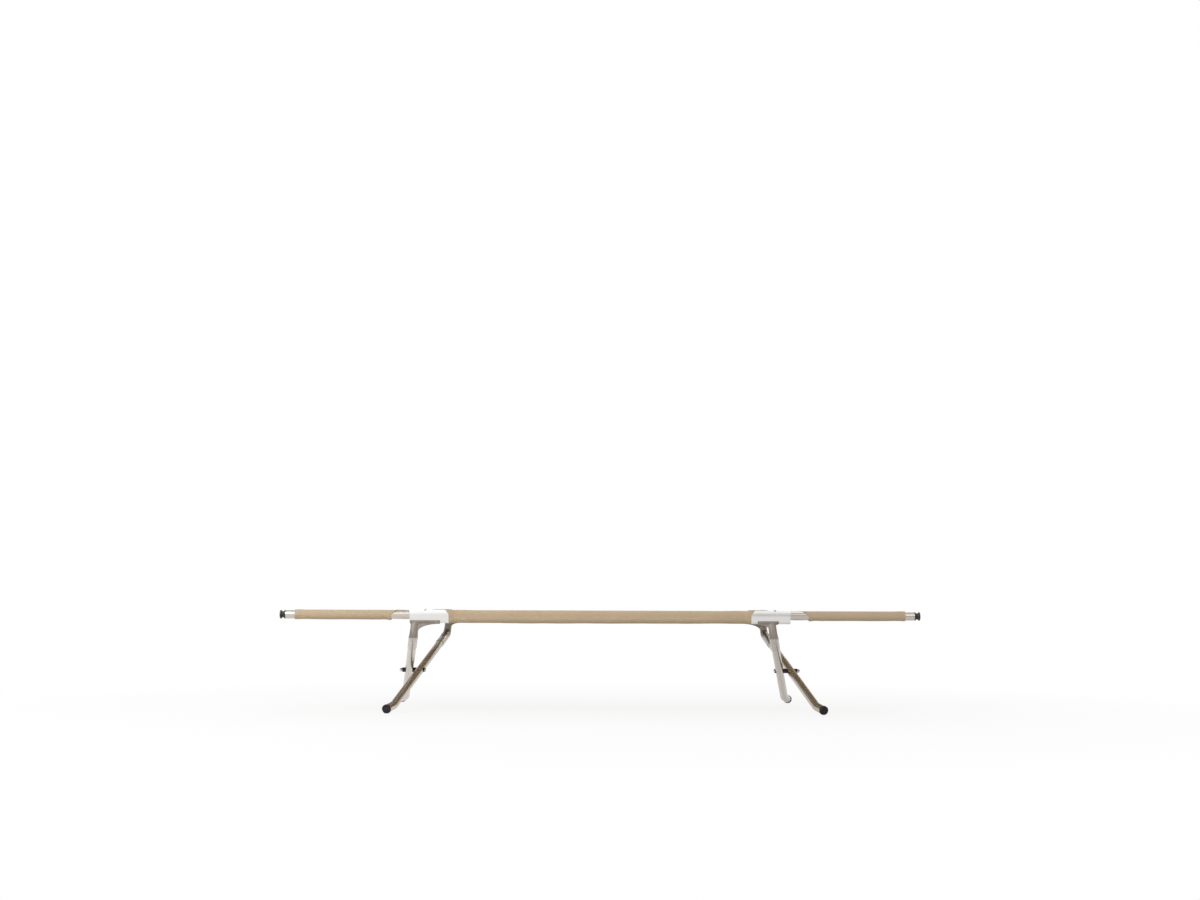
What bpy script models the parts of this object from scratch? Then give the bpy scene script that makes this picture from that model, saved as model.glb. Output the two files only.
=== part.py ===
"""Folding camping cot: two tube side frames that cross like scissors, and a taut cloth bed.

X runs along the bed, Y across it and Z up, in metres. The origin is on the floor below the
middle of the bed, the front rail is at -Y and the back rail at +Y. Each rail has a middle
length and two end lengths, which fold up and over on pins in channel brackets. A leg head
under each bracket holds a leg that runs down to the other side's foot.

The back side frame is the front one turned half round about Z. Every piece is modelled at
the +X end of the front frame, then mirrored or turned to its place.
"""

import math
from collections import namedtuple

import bmesh
import bpy
from mathutils import Matrix, Vector

# Gap between faces that touch on the real cot
CLEARANCE = 0.0003

# Tubes of the rails and the legs
TUBE_RADIUS = 0.0125
TUBE_WALL = 0.0012
SECTION_DROP = 0.009

# The whole cot
COT_LENGTH = 1.900
RAIL_SPACING = 0.620
RAIL_HEIGHT = 0.290

# Rail hinge, from the middle of the cot to its pin, and the pin above the tube's top
HINGE_X = 0.519
PIN_RISE = 0.0021
PIN_RADIUS = 0.0016
PIN_HEAD_RADIUS = 0.0026
PIN_HEAD_THICKNESS = 0.0011
KNUCKLE_RADIUS = 0.0032
SPIGOT_LENGTH = 0.030

# Channel bracket, reaching to both sides of the hinge
BRACKET_IN = 0.072
BRACKET_OUT = 0.045
BRACKET_TOP = 0.0156
BRACKET_HALF_WIDTH = 0.0164
BRACKET_SIDE_ARC = 0.048
BRACKET_FLOOR = 0.0025
CHANNEL_START = 0.0045
NOTCH_BELOW_AXIS = 0.016

# Rivet that holds each bracket to the middle rail, on its inner side
RIVET_RADIUS = 0.0020
RIVET_HEAD_RADIUS = 0.0040
RIVET_HEAD_HEIGHT = 0.0016
RIVET_EDGE = 0.030

# Cast leg head: neck, elbow, socket and the curved gusset on its inner side
NECK_RADIUS = 0.0118
NECK_DROP = 0.062
ELBOW_BEND = 0.022
SOCKET_WALL = 0.0015
SOCKET_LENGTH = 0.100
SOCKET_FLOOR = 0.022
SADDLE_FLOOR = 0.0045
GUSSET_HALF_WIDTH = 0.0075
GUSSET_EDGE = 0.0025

# Leg below the crossing: the bend near the foot and how the foot lies
FOOT_BEND = 0.060
FOOT_RUN = 0.0475
FOOT_YAW = math.radians(22.0)
FOOT_PITCH = math.radians(12.0)
FOOT_CAP_WALL = 0.0008
FOOT_CAP_LENGTH = 0.007
FOOT_CAP_STEM = 0.018
FOOT_CAP_END = 0.004
FOOT_CAP_ROUND = 0.0016
FOOT_RING_INNER = 0.0052
FOOT_RING_OUTER = 0.0098
FOOT_RING_DEPTH = 0.0013
FOOT_RING_SLOPE = 0.0008
FOOT_SOLE = 0.0012

# Pivot where the legs cross
BOLT_RADIUS = 0.003
BOLT_HEAD_RADIUS = 0.0062
BOLT_HEAD_HEIGHT = 0.0040
BOLT_HEAD_RIM = 0.0012
BOLT_HEAD_FACE = 0.0037
SADDLE_WASHER_RADIUS = 0.0072
INNER_WASHER = 0.0016
OUTER_WASHER = 0.0080
NUT_RADIUS = 0.0062
NUT_LENGTH = 0.0088
NUT_SKIRT = 0.0040
NUT_DOME_RADIUS = 0.0053
NUT_BORE = 0.0047

# Spool-shaped cap on each end of a rail
CAP_LENGTH = 0.017
CAP_STEM = 0.018
CAP_WAIST_RADIUS = 0.00925
CAP_RIM = 0.0034
CAP_DOME = 0.0017
CAP_FACE_RADIUS = 0.0075

# Cloth: the taut panels and the sleeves sewn round the rails
CLOTH = 0.0012
SEAM_FROM_RAIL = 0.008
FLANGE = 0.035
FLARE_REACH = 0.0080
FLARE_RISE = 0.0091
FLARE_RUN = 0.0074
WINDOW_OUT = 0.102
WINDOW_GAP = 0.002
WINDOW_CURVE = 0.012
BARE_TUBE = 0.028

# Facets
ROUND_SIDES = 16
SMALL_SIDES = 12
HALF_ROUND_STEPS = 8

# How far cutters run past a face, and the size of the empties that mark the joints
OVERLAP = 0.002
JOINT_MARK = 0.03

# Leg head whose leg runs inside the other one, along X from the hinge pin, outwards positive
INNER_ROOT_IN = -0.051
INNER_ROOT_OUT = 0.010
INNER_NECK = -0.009
INNER_ELBOW = -0.004
INNER_SPLAY = 0.116
INNER_GUSSET_DROP = 0.040

# Leg head whose leg runs outside, with its root as long as the bracket's outer end
OUTER_ROOT_IN = -0.045
OUTER_NECK = 0.030
OUTER_ELBOW = 0.034
OUTER_SPLAY = 0.110
OUTER_GUSSET_DROP = 0.050

Corner = namedtuple("Corner", "root_in root_out neck elbow splay gusset_drop")
INNER_CORNER = Corner(INNER_ROOT_IN, INNER_ROOT_OUT, INNER_NECK, INNER_ELBOW, INNER_SPLAY,
                      INNER_GUSSET_DROP)
OUTER_CORNER = Corner(OUTER_ROOT_IN, BRACKET_OUT, OUTER_NECK, OUTER_ELBOW, OUTER_SPLAY,
                      OUTER_GUSSET_DROP)
CORNERS = {1: INNER_CORNER, -1: OUTER_CORNER}

# Sizes that follow from the ones above
RAIL_Y = -RAIL_SPACING / 2
PIN_LIFT = TUBE_RADIUS + PIN_RISE
BORE_RADIUS = TUBE_RADIUS + CLEARANCE
INNER_RADIUS = TUBE_RADIUS - TUBE_WALL
CAP_RADIUS = BORE_RADIUS + FOOT_CAP_WALL
SLEEVE_END = HINGE_X - BRACKET_IN - CLEARANCE
END_SLEEVE_START = HINGE_X + WINDOW_OUT
END_SLEEVE_END = COT_LENGTH / 2 - CAP_LENGTH - BARE_TUBE
PANEL_BOTTOM = BORE_RADIUS
PANEL_TOP = BORE_RADIUS + CLOTH
PANEL_EDGE = RAIL_SPACING / 2 - SEAM_FROM_RAIL - CLEARANCE
WINDOW_EDGE = RAIL_SPACING / 2 - BRACKET_HALF_WIDTH - WINDOW_GAP


def vector(x, y, z):
    """A point given from the front rail's axis, at the +X end of the cot."""
    return Vector((x, RAIL_Y + y, RAIL_HEIGHT + z))


def arc(centre, radius, start, end, steps):
    """Points on a flat arc, with its angles in degrees."""
    points = []
    for index in range(steps + 1):
        angle = math.radians(start + (end - start) * index / steps)
        points.append((centre[0] + radius * math.cos(angle), centre[1] + radius * math.sin(angle)))
    return points


def dome(start, end, face, radius, steps):
    """Turned profile of a rounded end, from a flat face at start out to the radius at end."""
    points = []
    for index in range(steps + 1):
        angle = math.pi / 2 * index / steps
        points.append((end + (start - end) * math.cos(angle), face + (radius - face) * math.sin(angle)))
    return points


def obround(radius, drop):
    """Round-ended upright section as (y, z) points, its upper centre on the rail's axis."""
    upper = arc((0.0, 0.0), radius, 0, 180, HALF_ROUND_STEPS)
    lower = arc((0.0, -drop), radius, 180, 360, HALF_ROUND_STEPS)
    return upper + lower


def prism(points, along):
    """Closed solid: a flat outline of 3-D points, extruded along a vector."""
    bm = bmesh.new()
    face = bm.faces.new([bm.verts.new(point) for point in points])
    extruded = bmesh.ops.extrude_face_region(bm, geom=[face])
    moved = [item for item in extruded["geom"] if isinstance(item, bmesh.types.BMVert)]
    bmesh.ops.translate(bm, verts=moved, vec=along)
    bmesh.ops.recalc_face_normals(bm, faces=bm.faces)
    return bm


def bar_along_x(outline, start, end):
    """Outline in (y, z), extruded between two places along X."""
    points = [vector(start, y, z) for y, z in outline]
    return prism(points, Vector((end - start, 0.0, 0.0)))


def bar_along_y(outline, half_width):
    """Outline in (x, z), extruded across the rail to both sides of its axis."""
    points = [vector(x, -half_width, z) for x, z in outline]
    return prism(points, Vector((0.0, 2 * half_width, 0.0)))


def skinned(rings):
    """Closed solid through rings of equally many points, with flat ends."""
    bm = bmesh.new()
    loops = [[bm.verts.new(point) for point in ring] for ring in rings]
    for lower, upper in zip(loops, loops[1:]):
        for index in range(len(lower)):
            after = (index + 1) % len(lower)
            bm.faces.new((lower[index], lower[after], upper[after], upper[index]))
    bm.faces.new(list(reversed(loops[0])))
    bm.faces.new(loops[-1])
    bmesh.ops.recalc_face_normals(bm, faces=bm.faces)
    return bm


def skinned_pipe(outer, inner):
    """Closed wall between outer and inner rings of equally many points."""
    bm = bmesh.new()
    loops = [[bm.verts.new(point) for point in ring] for ring in outer + list(reversed(inner))]
    loops.append(loops[0])
    for lower, upper in zip(loops, loops[1:]):
        for index in range(len(lower)):
            after = (index + 1) % len(lower)
            bm.faces.new((lower[index], lower[after], upper[after], upper[index]))
    bmesh.ops.recalc_face_normals(bm, faces=bm.faces)
    return bm


def turned(profile, origin, direction, sides):
    """Solid of revolution: (along, radius) points spun about an axis through origin."""
    bm = bmesh.new()
    verts = [bm.verts.new((along, radius, 0.0)) for along, radius in profile]
    edges = [bm.edges.new(pair) for pair in zip(verts, verts[1:])]
    if profile[0][1] > 0.0:
        edges.append(bm.edges.new((verts[-1], verts[0])))
    bmesh.ops.spin(bm, geom=verts + edges, cent=(0, 0, 0), axis=(1, 0, 0), dvec=(0, 0, 0),
                   angle=2 * math.pi, steps=sides, use_merge=True)
    bmesh.ops.remove_doubles(bm, verts=bm.verts, dist=1e-6)
    aim = Vector((1.0, 0.0, 0.0)).rotation_difference(direction).to_matrix().to_4x4()
    bm.transform(Matrix.Translation(origin) @ aim)
    bmesh.ops.recalc_face_normals(bm, faces=bm.faces)
    return bm


def rod(origin, direction, start, end, radius, sides=SMALL_SIDES):
    """Plain cylinder along an axis."""
    profile = [(start, 0.0), (start, radius), (end, radius), (end, 0.0)]
    return turned(profile, origin, direction, sides)


def rounded_path(points, radius, steps):
    """Three points joined by straight runs, with an arc of the radius at the middle one."""
    start, corner, end = points
    first = (corner - start).normalized()
    second = (end - corner).normalized()
    turn = first.angle(second)
    reach = radius * math.tan(turn / 2)
    inward = (second - first * first.dot(second)).normalized()
    arc_start = corner - first * reach
    centre = arc_start + inward * radius
    path = [start]
    for index in range(steps + 1):
        angle = turn * index / steps
        path.append(centre - inward * radius * math.cos(angle) + first * radius * math.sin(angle))
    path.append(end)
    return path


def rings_on(path, radii, sides):
    """Circles square to a path, carried along it without twist."""
    tangents = [(after - before).normalized() for before, after in zip(path, path[1:])]
    aims = [tangents[0]]
    for before, after in zip(tangents, tangents[1:]):
        aims.append((before + after).normalized())
    aims.append(tangents[-1])
    side = aims[0].orthogonal().normalized()
    rings = []
    for index, (point, aim) in enumerate(zip(path, aims)):
        if index:
            side = aims[index - 1].rotation_difference(aim) @ side
        other = aim.cross(side)
        ring = []
        for step in range(sides):
            angle = 2 * math.pi * step / sides
            ring.append(point + (side * math.cos(angle) + other * math.sin(angle)) * radii[index])
        rings.append(ring)
    return rings


def guide(bm):
    """Object that only shapes another one."""
    mesh = bpy.data.meshes.new("guide")
    bm.to_mesh(mesh)
    bm.free()
    item = bpy.data.objects.new("guide", mesh)
    bpy.context.scene.collection.objects.link(item)
    item.hide_render = True
    item.display_type = "WIRE"
    return item


def combined(bm, tools, operation):
    """Solid after a Boolean with each of the tools in turn."""
    body = guide(bm)
    for tool_bm in tools:
        tool = guide(tool_bm)
        modifier = body.modifiers.new("shape", "BOOLEAN")
        modifier.operation = operation
        modifier.object = tool
        depsgraph = bpy.context.evaluated_depsgraph_get()
        shaped = bpy.data.meshes.new_from_object(body.evaluated_get(depsgraph))
        body.modifiers.clear()
        body.data = shaped
        bpy.data.objects.remove(tool)
    result = bmesh.new()
    result.from_mesh(body.data)
    bpy.data.objects.remove(body)
    return result


def cut(bm, *tools):
    """Solid with the tools taken out of it."""
    return combined(bm, tools, "DIFFERENCE")


def fused(bm, *tools):
    """Solid joined to the tools."""
    return combined(bm, tools, "UNION")


def leg_points(corner):
    """Elbow, bend and foot end of a leg's middle line."""
    elbow = vector(HINGE_X + corner.elbow, 0.0, -NECK_DROP)
    foot_z = CAP_RADIUS * math.cos(FOOT_PITCH) - FOOT_SOLE
    foot = Vector((elbow.x + corner.splay, -RAIL_Y, foot_z))
    level = math.cos(FOOT_PITCH)
    heading = Vector((math.sin(FOOT_YAW) * level, math.cos(FOOT_YAW) * level, -math.sin(FOOT_PITCH)))
    return elbow, foot - heading * FOOT_RUN, foot


def leg_direction(corner):
    """Way a leg runs from its elbow to its bend."""
    elbow, bend, _ = leg_points(corner)
    return (bend - elbow).normalized()


def pivot_point(corner):
    """Where a leg's middle line passes below the middle of the bed."""
    elbow, bend, _ = leg_points(corner)
    return elbow.lerp(bend, -elbow.y / (bend.y - elbow.y))


def pivot_z():
    """Height of the axis that the two side frames turn about."""
    return pivot_point(INNER_CORNER).z


def bracket_side(z):
    """Half width of the bracket at a height, on one long outward arc."""
    return BRACKET_HALF_WIDTH - z * z / (2 * BRACKET_SIDE_ARC)


def bracket_outline(top, bottom, corner_height):
    """Outline in (y, z): bowed sides above corner_height and an elliptic underside."""
    steps = 4
    right = []
    for index in range(steps + 1):
        z = corner_height + (top - corner_height) * index / steps
        right.append((bracket_side(z), z))
    under = []
    half = bracket_side(corner_height)
    for index in range(1, 2 * steps):
        angle = math.pi * index / (2 * steps)
        under.append((-half * math.cos(angle), corner_height - (corner_height - bottom) * math.sin(angle)))
    left = [(-y, z) for y, z in reversed(right)]
    return right + left + under


def ear_reach():
    """Half width over the flat bosses round the hinge pin."""
    return bracket_side(PIN_LIFT - KNUCKLE_RADIUS)


def rail_bore(start, end):
    """Cutter with the section of the rail and its clearance."""
    return bar_along_x(obround(BORE_RADIUS, SECTION_DROP), start, end)


def rivet_point():
    """Where a bracket's rivet crosses the rail's middle, on the flat of its side."""
    return vector(HINGE_X - BRACKET_IN + RIVET_EDGE, 0.0, -SECTION_DROP / 2)


def rivet_hole():
    """Cutter for the rivet, through the walls of the bracket and the rail."""
    reach = BRACKET_HALF_WIDTH + OVERLAP
    return rod(rivet_point(), Vector((0, 1, 0)), INNER_RADIUS - OVERLAP, reach, RIVET_RADIUS + CLEARANCE)


def middle_rail():
    """Hollow middle length of a rail, taller than wide, notched above for the knuckles."""
    end = HINGE_X - CLEARANCE
    outer_section = obround(TUBE_RADIUS, SECTION_DROP)
    inner_section = obround(INNER_RADIUS, SECTION_DROP)
    outer = [[vector(x, y, z) for y, z in outer_section] for x in (-end, end)]
    inner = [[vector(x, y, z) for y, z in inner_section] for x in (-end, end)]
    rail = skinned_pipe(outer, inner)
    tools = []
    for side in (-1, 1):
        knuckle = rod(vector(HINGE_X, 0.0, PIN_LIFT), Vector((0, 1, 0)), -TUBE_RADIUS, TUBE_RADIUS,
                      KNUCKLE_RADIUS + CLEARANCE, ROUND_SIDES)
        for tool in (knuckle, rivet_hole()):
            if side < 0:
                mirror(tool)
            tools.append(tool)
    return cut(rail, *tools)


def bracket(corner):
    """Channel bracket: a closed sleeve on the rail, open on top past the hinge pin."""
    inner_end = HINGE_X - BRACKET_IN
    outer_end = HINGE_X + BRACKET_OUT
    bottom = -(SECTION_DROP + BORE_RADIUS + BRACKET_FLOOR)
    body = bar_along_x(bracket_outline(BRACKET_TOP, bottom, -NOTCH_BELOW_AXIS), inner_end, outer_end)
    pin = vector(HINGE_X, 0.0, PIN_LIFT)
    across = Vector((0, 1, 0))
    body = fused(body, rod(pin, across, -ear_reach(), ear_reach(), KNUCKLE_RADIUS, ROUND_SIDES))
    above = PIN_LIFT + KNUCKLE_RADIUS + OVERLAP
    channel = [(-BORE_RADIUS, 0.0), (BORE_RADIUS, 0.0), (BORE_RADIUS, above), (-BORE_RADIUS, above)]
    below = bottom - OVERLAP
    wide = BRACKET_HALF_WIDTH + OVERLAP
    notch = [(-wide, below), (wide, below), (wide, -NOTCH_BELOW_AXIS), (-wide, -NOTCH_BELOW_AXIS)]
    return cut(body,
               rail_bore(inner_end - OVERLAP, outer_end + OVERLAP),
               bar_along_x(channel, HINGE_X - CHANNEL_START, outer_end + OVERLAP),
               bar_along_x(notch, HINGE_X + corner.root_in - CLEARANCE,
                           HINGE_X + corner.root_out + CLEARANCE),
               rod(pin, across, -wide, wide, PIN_RADIUS + CLEARANCE),
               rivet_hole())


def rivet():
    """Domed rivet on the inner side of a bracket."""
    seat = BRACKET_HALF_WIDTH + CLEARANCE
    profile = [(INNER_RADIUS, 0.0), (INNER_RADIUS, RIVET_RADIUS), (seat, RIVET_RADIUS)]
    profile += reversed(dome(seat + RIVET_HEAD_HEIGHT, seat, 0.0, RIVET_HEAD_RADIUS, 3))
    return turned(profile, rivet_point(), Vector((0, 1, 0)), SMALL_SIDES)


def hinge_pin():
    """Pin of the rail hinge, headed at both ends."""
    seat = ear_reach() + CLEARANCE
    end = seat + PIN_HEAD_THICKNESS
    profile = [(-end, 0.0), (-end, PIN_HEAD_RADIUS), (-seat, PIN_HEAD_RADIUS), (-seat, PIN_RADIUS),
               (seat, PIN_RADIUS), (seat, PIN_HEAD_RADIUS), (end, PIN_HEAD_RADIUS), (end, 0.0)]
    return turned(profile, vector(HINGE_X, 0.0, PIN_LIFT), Vector((0, 1, 0)), SMALL_SIDES)


def hinge_plug():
    """Block that fills the channel, with a knuckle on the pin and a spigot into the end tube."""
    start = HINGE_X + CLEARANCE
    shoulder = HINGE_X + BRACKET_OUT
    spigot = INNER_RADIUS - CLEARANCE
    tip = shoulder + SPIGOT_LENGTH
    chamfer = TUBE_WALL
    rings = []
    stations = ((start, TUBE_RADIUS, SECTION_DROP), (shoulder, TUBE_RADIUS, SECTION_DROP),
                (shoulder, spigot, 0.0), (tip - chamfer, spigot, 0.0), (tip, spigot - chamfer, 0.0))
    for x, radius, drop in stations:
        rings.append([vector(x, y, z) for y, z in obround(radius, drop)])
    knuckle = [(start, 0.0), (HINGE_X + KNUCKLE_RADIUS, 0.0)]
    arc_end = 270 + math.degrees(math.asin(CLEARANCE / KNUCKLE_RADIUS))
    knuckle += arc((HINGE_X, PIN_LIFT), KNUCKLE_RADIUS, 0, arc_end, 12)
    half_width = TUBE_RADIUS - TUBE_WALL
    block = fused(skinned(rings), bar_along_y(knuckle, half_width))
    pin = vector(HINGE_X, 0.0, PIN_LIFT)
    return cut(block, rod(pin, Vector((0, 1, 0)), -TUBE_RADIUS, TUBE_RADIUS, PIN_RADIUS + CLEARANCE))


def end_rail():
    """Round hollow end length of a rail."""
    start = HINGE_X + BRACKET_OUT + CLEARANCE
    end = COT_LENGTH / 2 - CAP_LENGTH
    origin = vector(0.0, 0.0, 0.0)
    profile = [(start, TUBE_RADIUS), (end, TUBE_RADIUS), (end, INNER_RADIUS), (start, INNER_RADIUS)]
    return turned(profile, origin, Vector((1, 0, 0)), ROUND_SIDES)


def end_cap():
    """Spool-shaped cap with a stem inside the tube."""
    tube_end = COT_LENGTH / 2 - CAP_LENGTH
    tip = COT_LENGTH / 2
    seat = tube_end + CLEARANCE
    stem = INNER_RADIUS - CLEARANCE
    profile = [(tube_end - CAP_STEM, 0.0), (tube_end - CAP_STEM, stem), (seat, stem), (seat, TUBE_RADIUS),
               (seat + CAP_RIM, TUBE_RADIUS)]
    waist_start = seat + CAP_RIM
    waist_end = tip - CAP_DOME - CAP_RIM
    middle = (waist_start + waist_end) / 2
    half = (waist_end - waist_start) / 2
    depth = TUBE_RADIUS - CAP_WAIST_RADIUS
    for along, radius in arc((0.0, 0.0), 1.0, 180, 0, 5)[1:-1]:
        profile.append((middle + half * along, TUBE_RADIUS - depth * radius))
    profile.append((waist_end, TUBE_RADIUS))
    profile += reversed(dome(tip, tip - CAP_DOME, CAP_FACE_RADIUS, TUBE_RADIUS, 2))
    profile.append((tip, 0.0))
    return turned(profile, vector(0.0, 0.0, 0.0), Vector((1, 0, 0)), ROUND_SIDES)


def saddle(corner):
    """Cast cradle under the rail, which shows in the bracket's notch."""
    top = -NOTCH_BELOW_AXIS - CLEARANCE
    bottom = -(SECTION_DROP + BORE_RADIUS + SADDLE_FLOOR)
    half = bracket_side(top)
    outline = []
    steps = 12
    for index in range(steps + 1):
        angle = math.pi * index / steps
        outline.append((-half * math.cos(angle), top - (top - bottom) * math.sin(angle)))
    return bar_along_x(outline, HINGE_X + corner.root_in, HINGE_X + corner.root_out)


def gusset(corner):
    """Web on the neck's inner side, hollowed along a quarter of an ellipse."""
    start = HINGE_X + corner.root_in + GUSSET_EDGE
    neck = HINGE_X + corner.neck
    inner_face = neck - NECK_RADIUS
    top = -(SECTION_DROP + BORE_RADIUS + GUSSET_EDGE)
    steps = 6
    outline = [(neck, top), (start, top)]
    for index in range(steps + 1):
        angle = math.pi / 2 * index / steps
        x = start + (inner_face - start) * math.sin(angle)
        z = -corner.gusset_drop + (corner.gusset_drop + top - GUSSET_EDGE) * math.cos(angle)
        outline.append((x, z))
    outline.append((neck, -corner.gusset_drop))
    return bar_along_y(outline, GUSSET_HALF_WIDTH)


def leg_head(corner):
    """Cast head: cradle, gusset, neck and the sloping socket for the leg."""
    elbow, _, _ = leg_points(corner)
    direction = leg_direction(corner)
    top = vector(HINGE_X + corner.neck, 0.0, -(SECTION_DROP + TUBE_RADIUS))
    mouth = elbow + direction * SOCKET_LENGTH
    steps = 5
    path = rounded_path((top, elbow, mouth), ELBOW_BEND, steps)
    socket = BORE_RADIUS + SOCKET_WALL
    radii = [NECK_RADIUS] * 2
    for index in range(1, steps + 1):
        radii.append(NECK_RADIUS + (socket - NECK_RADIUS) * index / steps)
    radii.append(socket)
    neck = skinned(rings_on(path, radii, ROUND_SIDES))
    head = fused(saddle(corner), gusset(corner), neck)
    bore_start = HINGE_X + corner.root_in - OVERLAP
    bore_end = HINGE_X + corner.root_out + OVERLAP
    return cut(head,
               rail_bore(bore_start, bore_end),
               rod(elbow, direction, SOCKET_FLOOR, SOCKET_LENGTH + OVERLAP, BORE_RADIUS, ROUND_SIDES))


def leg(corner):
    """Hollow leg tube, bent near its foot and drilled for the pivot bolt."""
    elbow, bend, foot = leg_points(corner)
    direction = leg_direction(corner)
    heading = (foot - bend).normalized()
    start = elbow + direction * (SOCKET_FLOOR + CLEARANCE)
    end = foot - heading * (FOOT_CAP_END + CLEARANCE)
    path = rounded_path((start, bend, end), FOOT_BEND, 4)
    outer = rings_on(path, [TUBE_RADIUS] * len(path), ROUND_SIDES)
    inner = rings_on(path, [INNER_RADIUS] * len(path), ROUND_SIDES)
    reach = 2 * TUBE_RADIUS
    drill = rod(pivot_point(corner), Vector((1, 0, 0)), -reach, reach, BOLT_RADIUS + CLEARANCE)
    return cut(skinned_pipe(outer, inner), drill)


def foot_cap(corner):
    """Rubber cap with a stem inside the leg and a ring sunk in its end, flat where it meets the floor."""
    _, bend, foot = leg_points(corner)
    heading = (foot - bend).normalized()
    stem = INNER_RADIUS - 2 * CLEARANCE
    profile = [(0.0, 0.0), (0.0, FOOT_RING_INNER), (-FOOT_RING_DEPTH, FOOT_RING_INNER + FOOT_RING_SLOPE),
               (-FOOT_RING_DEPTH, FOOT_RING_OUTER - FOOT_RING_SLOPE), (0.0, FOOT_RING_OUTER)]
    profile += dome(0.0, -FOOT_CAP_ROUND, CAP_RADIUS - FOOT_CAP_ROUND, CAP_RADIUS, 2)
    profile += [(-FOOT_CAP_LENGTH, CAP_RADIUS), (-FOOT_CAP_LENGTH, BORE_RADIUS),
                (-FOOT_CAP_END, BORE_RADIUS), (-FOOT_CAP_END, stem),
                (-FOOT_CAP_END - FOOT_CAP_STEM, stem), (-FOOT_CAP_END - FOOT_CAP_STEM, 0.0)]
    cap = turned(profile, foot, heading, ROUND_SIDES)
    reach = FOOT_CAP_LENGTH + CAP_RADIUS
    corners = ((-1, -1), (1, -1), (1, 1), (-1, 1))
    floor = [foot + Vector((x * reach, y * reach, -foot.z)) for x, y in corners]
    return cut(cap, prism(floor, Vector((0.0, 0.0, -reach))))


def leg_shape(corner):
    """Cutter with the shape of a leg and its clearance, round the pivot."""
    reach = 2 * SADDLE_WASHER_RADIUS
    return rod(pivot_point(corner), leg_direction(corner), -reach, reach, BORE_RADIUS, ROUND_SIDES)


def pivot_stack():
    """Places along X where the faces of the pivot's pieces lie, from its head to its nut."""
    inner = pivot_point(INNER_CORNER).x
    outer = pivot_point(OUTER_CORNER).x
    half = TUBE_RADIUS / math.sin(leg_direction(INNER_CORNER).angle(Vector((1, 0, 0))))
    head_seat = inner - half - INNER_WASHER
    nut_seat = outer + half + OUTER_WASHER
    return {"head": head_seat, "inner": inner, "middle": (inner + outer) / 2, "outer": outer,
            "nut": nut_seat}


def saddle_washer(corner, start, end):
    """Washer on the bolt, hollowed to the round side of the leg that it lies against."""
    profile = [(start, BOLT_RADIUS + CLEARANCE), (start, SADDLE_WASHER_RADIUS),
               (end, SADDLE_WASHER_RADIUS), (end, BOLT_RADIUS + CLEARANCE)]
    ring = turned(profile, Vector((0.0, 0.0, pivot_z())), Vector((1, 0, 0)), SMALL_SIDES)
    return cut(ring, leg_shape(corner))


def pivot_bolt():
    """Bolt that both side frames turn on, with its button head inside."""
    stack = pivot_stack()
    seat = stack["head"] - CLEARANCE
    tip = stack["nut"] + NUT_BORE - CLEARANCE
    profile = [(seat - BOLT_HEAD_HEIGHT, 0.0)]
    profile += dome(seat - BOLT_HEAD_HEIGHT, seat - BOLT_HEAD_RIM, BOLT_HEAD_FACE, BOLT_HEAD_RADIUS, 3)
    profile += [(seat, BOLT_HEAD_RADIUS), (seat, BOLT_RADIUS), (tip, BOLT_RADIUS), (tip, 0.0)]
    return turned(profile, Vector((0.0, 0.0, pivot_z())), Vector((1, 0, 0)), ROUND_SIDES)


def pivot_nut():
    """Domed nut on the outer end of the bolt, open towards it."""
    seat = pivot_stack()["nut"] + CLEARANCE
    skirt = seat + NUT_SKIRT
    bore = BOLT_RADIUS + CLEARANCE
    profile = dome(seat + NUT_LENGTH, skirt, 0.0, NUT_DOME_RADIUS, 4)
    profile += [(skirt, NUT_RADIUS), (seat, NUT_RADIUS), (seat, bore), (seat + NUT_BORE, bore),
                (seat + NUT_BORE, 0.0)]
    return turned(profile, Vector((0.0, 0.0, pivot_z())), Vector((1, 0, 0)), ROUND_SIDES)


def sleeve_line(drop):
    """Middle of the sleeve's cloth in (y, z): over the rail, round it and out to the flange."""
    radius = BORE_RADIUS + CLOTH / 2
    flange_z = radius - CLOTH - CLEARANCE
    quarter = HALF_ROUND_STEPS // 2
    line = [(SEAM_FROM_RAIL, radius)]
    line += arc((0.0, 0.0), radius, 90, 180, quarter)
    line += arc((0.0, -drop), radius, 180, 360, HALF_ROUND_STEPS)[0 if drop > 0 else 1:]
    if drop > 0:
        line.append((radius, 0.0))
    flat = radius + FLARE_REACH
    bezier = ((radius, 0.0), (radius, FLARE_RISE), (flat - FLARE_RUN, flange_z), (flat, flange_z))
    steps = 4
    for index in range(1, steps + 1):
        t = index / steps
        weights = ((1 - t) ** 3, 3 * t * (1 - t) ** 2, 3 * t * t * (1 - t), t ** 3)
        line.append(tuple(sum(w * p[axis] for w, p in zip(weights, bezier)) for axis in range(2)))
    line.append((FLANGE, flange_z))
    return line


def sleeve(drop, start, end):
    """Strip of cloth wrapped round a rail, extruded along it."""
    line = [Vector(point) for point in sleeve_line(drop)]
    near, far = [], []
    for index, point in enumerate(line):
        before = line[max(index - 1, 0)]
        after = line[min(index + 1, len(line) - 1)]
        along = (after - before).normalized()
        normal = Vector((-along.y, along.x)) * CLOTH / 2
        near.append(point + normal)
        far.append(point - normal)
    return bar_along_x([tuple(point) for point in near + list(reversed(far))], start, end)


def window_step(x, start, end):
    """Edge of a panel where it draws back from a sleeve to the window, on a smooth step."""
    share = min(max((x - start) / (end - start), 0.0), 1.0)
    eased = share * share * (3 - 2 * share)
    return PANEL_EDGE + (WINDOW_EDGE - PANEL_EDGE) * eased


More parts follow.
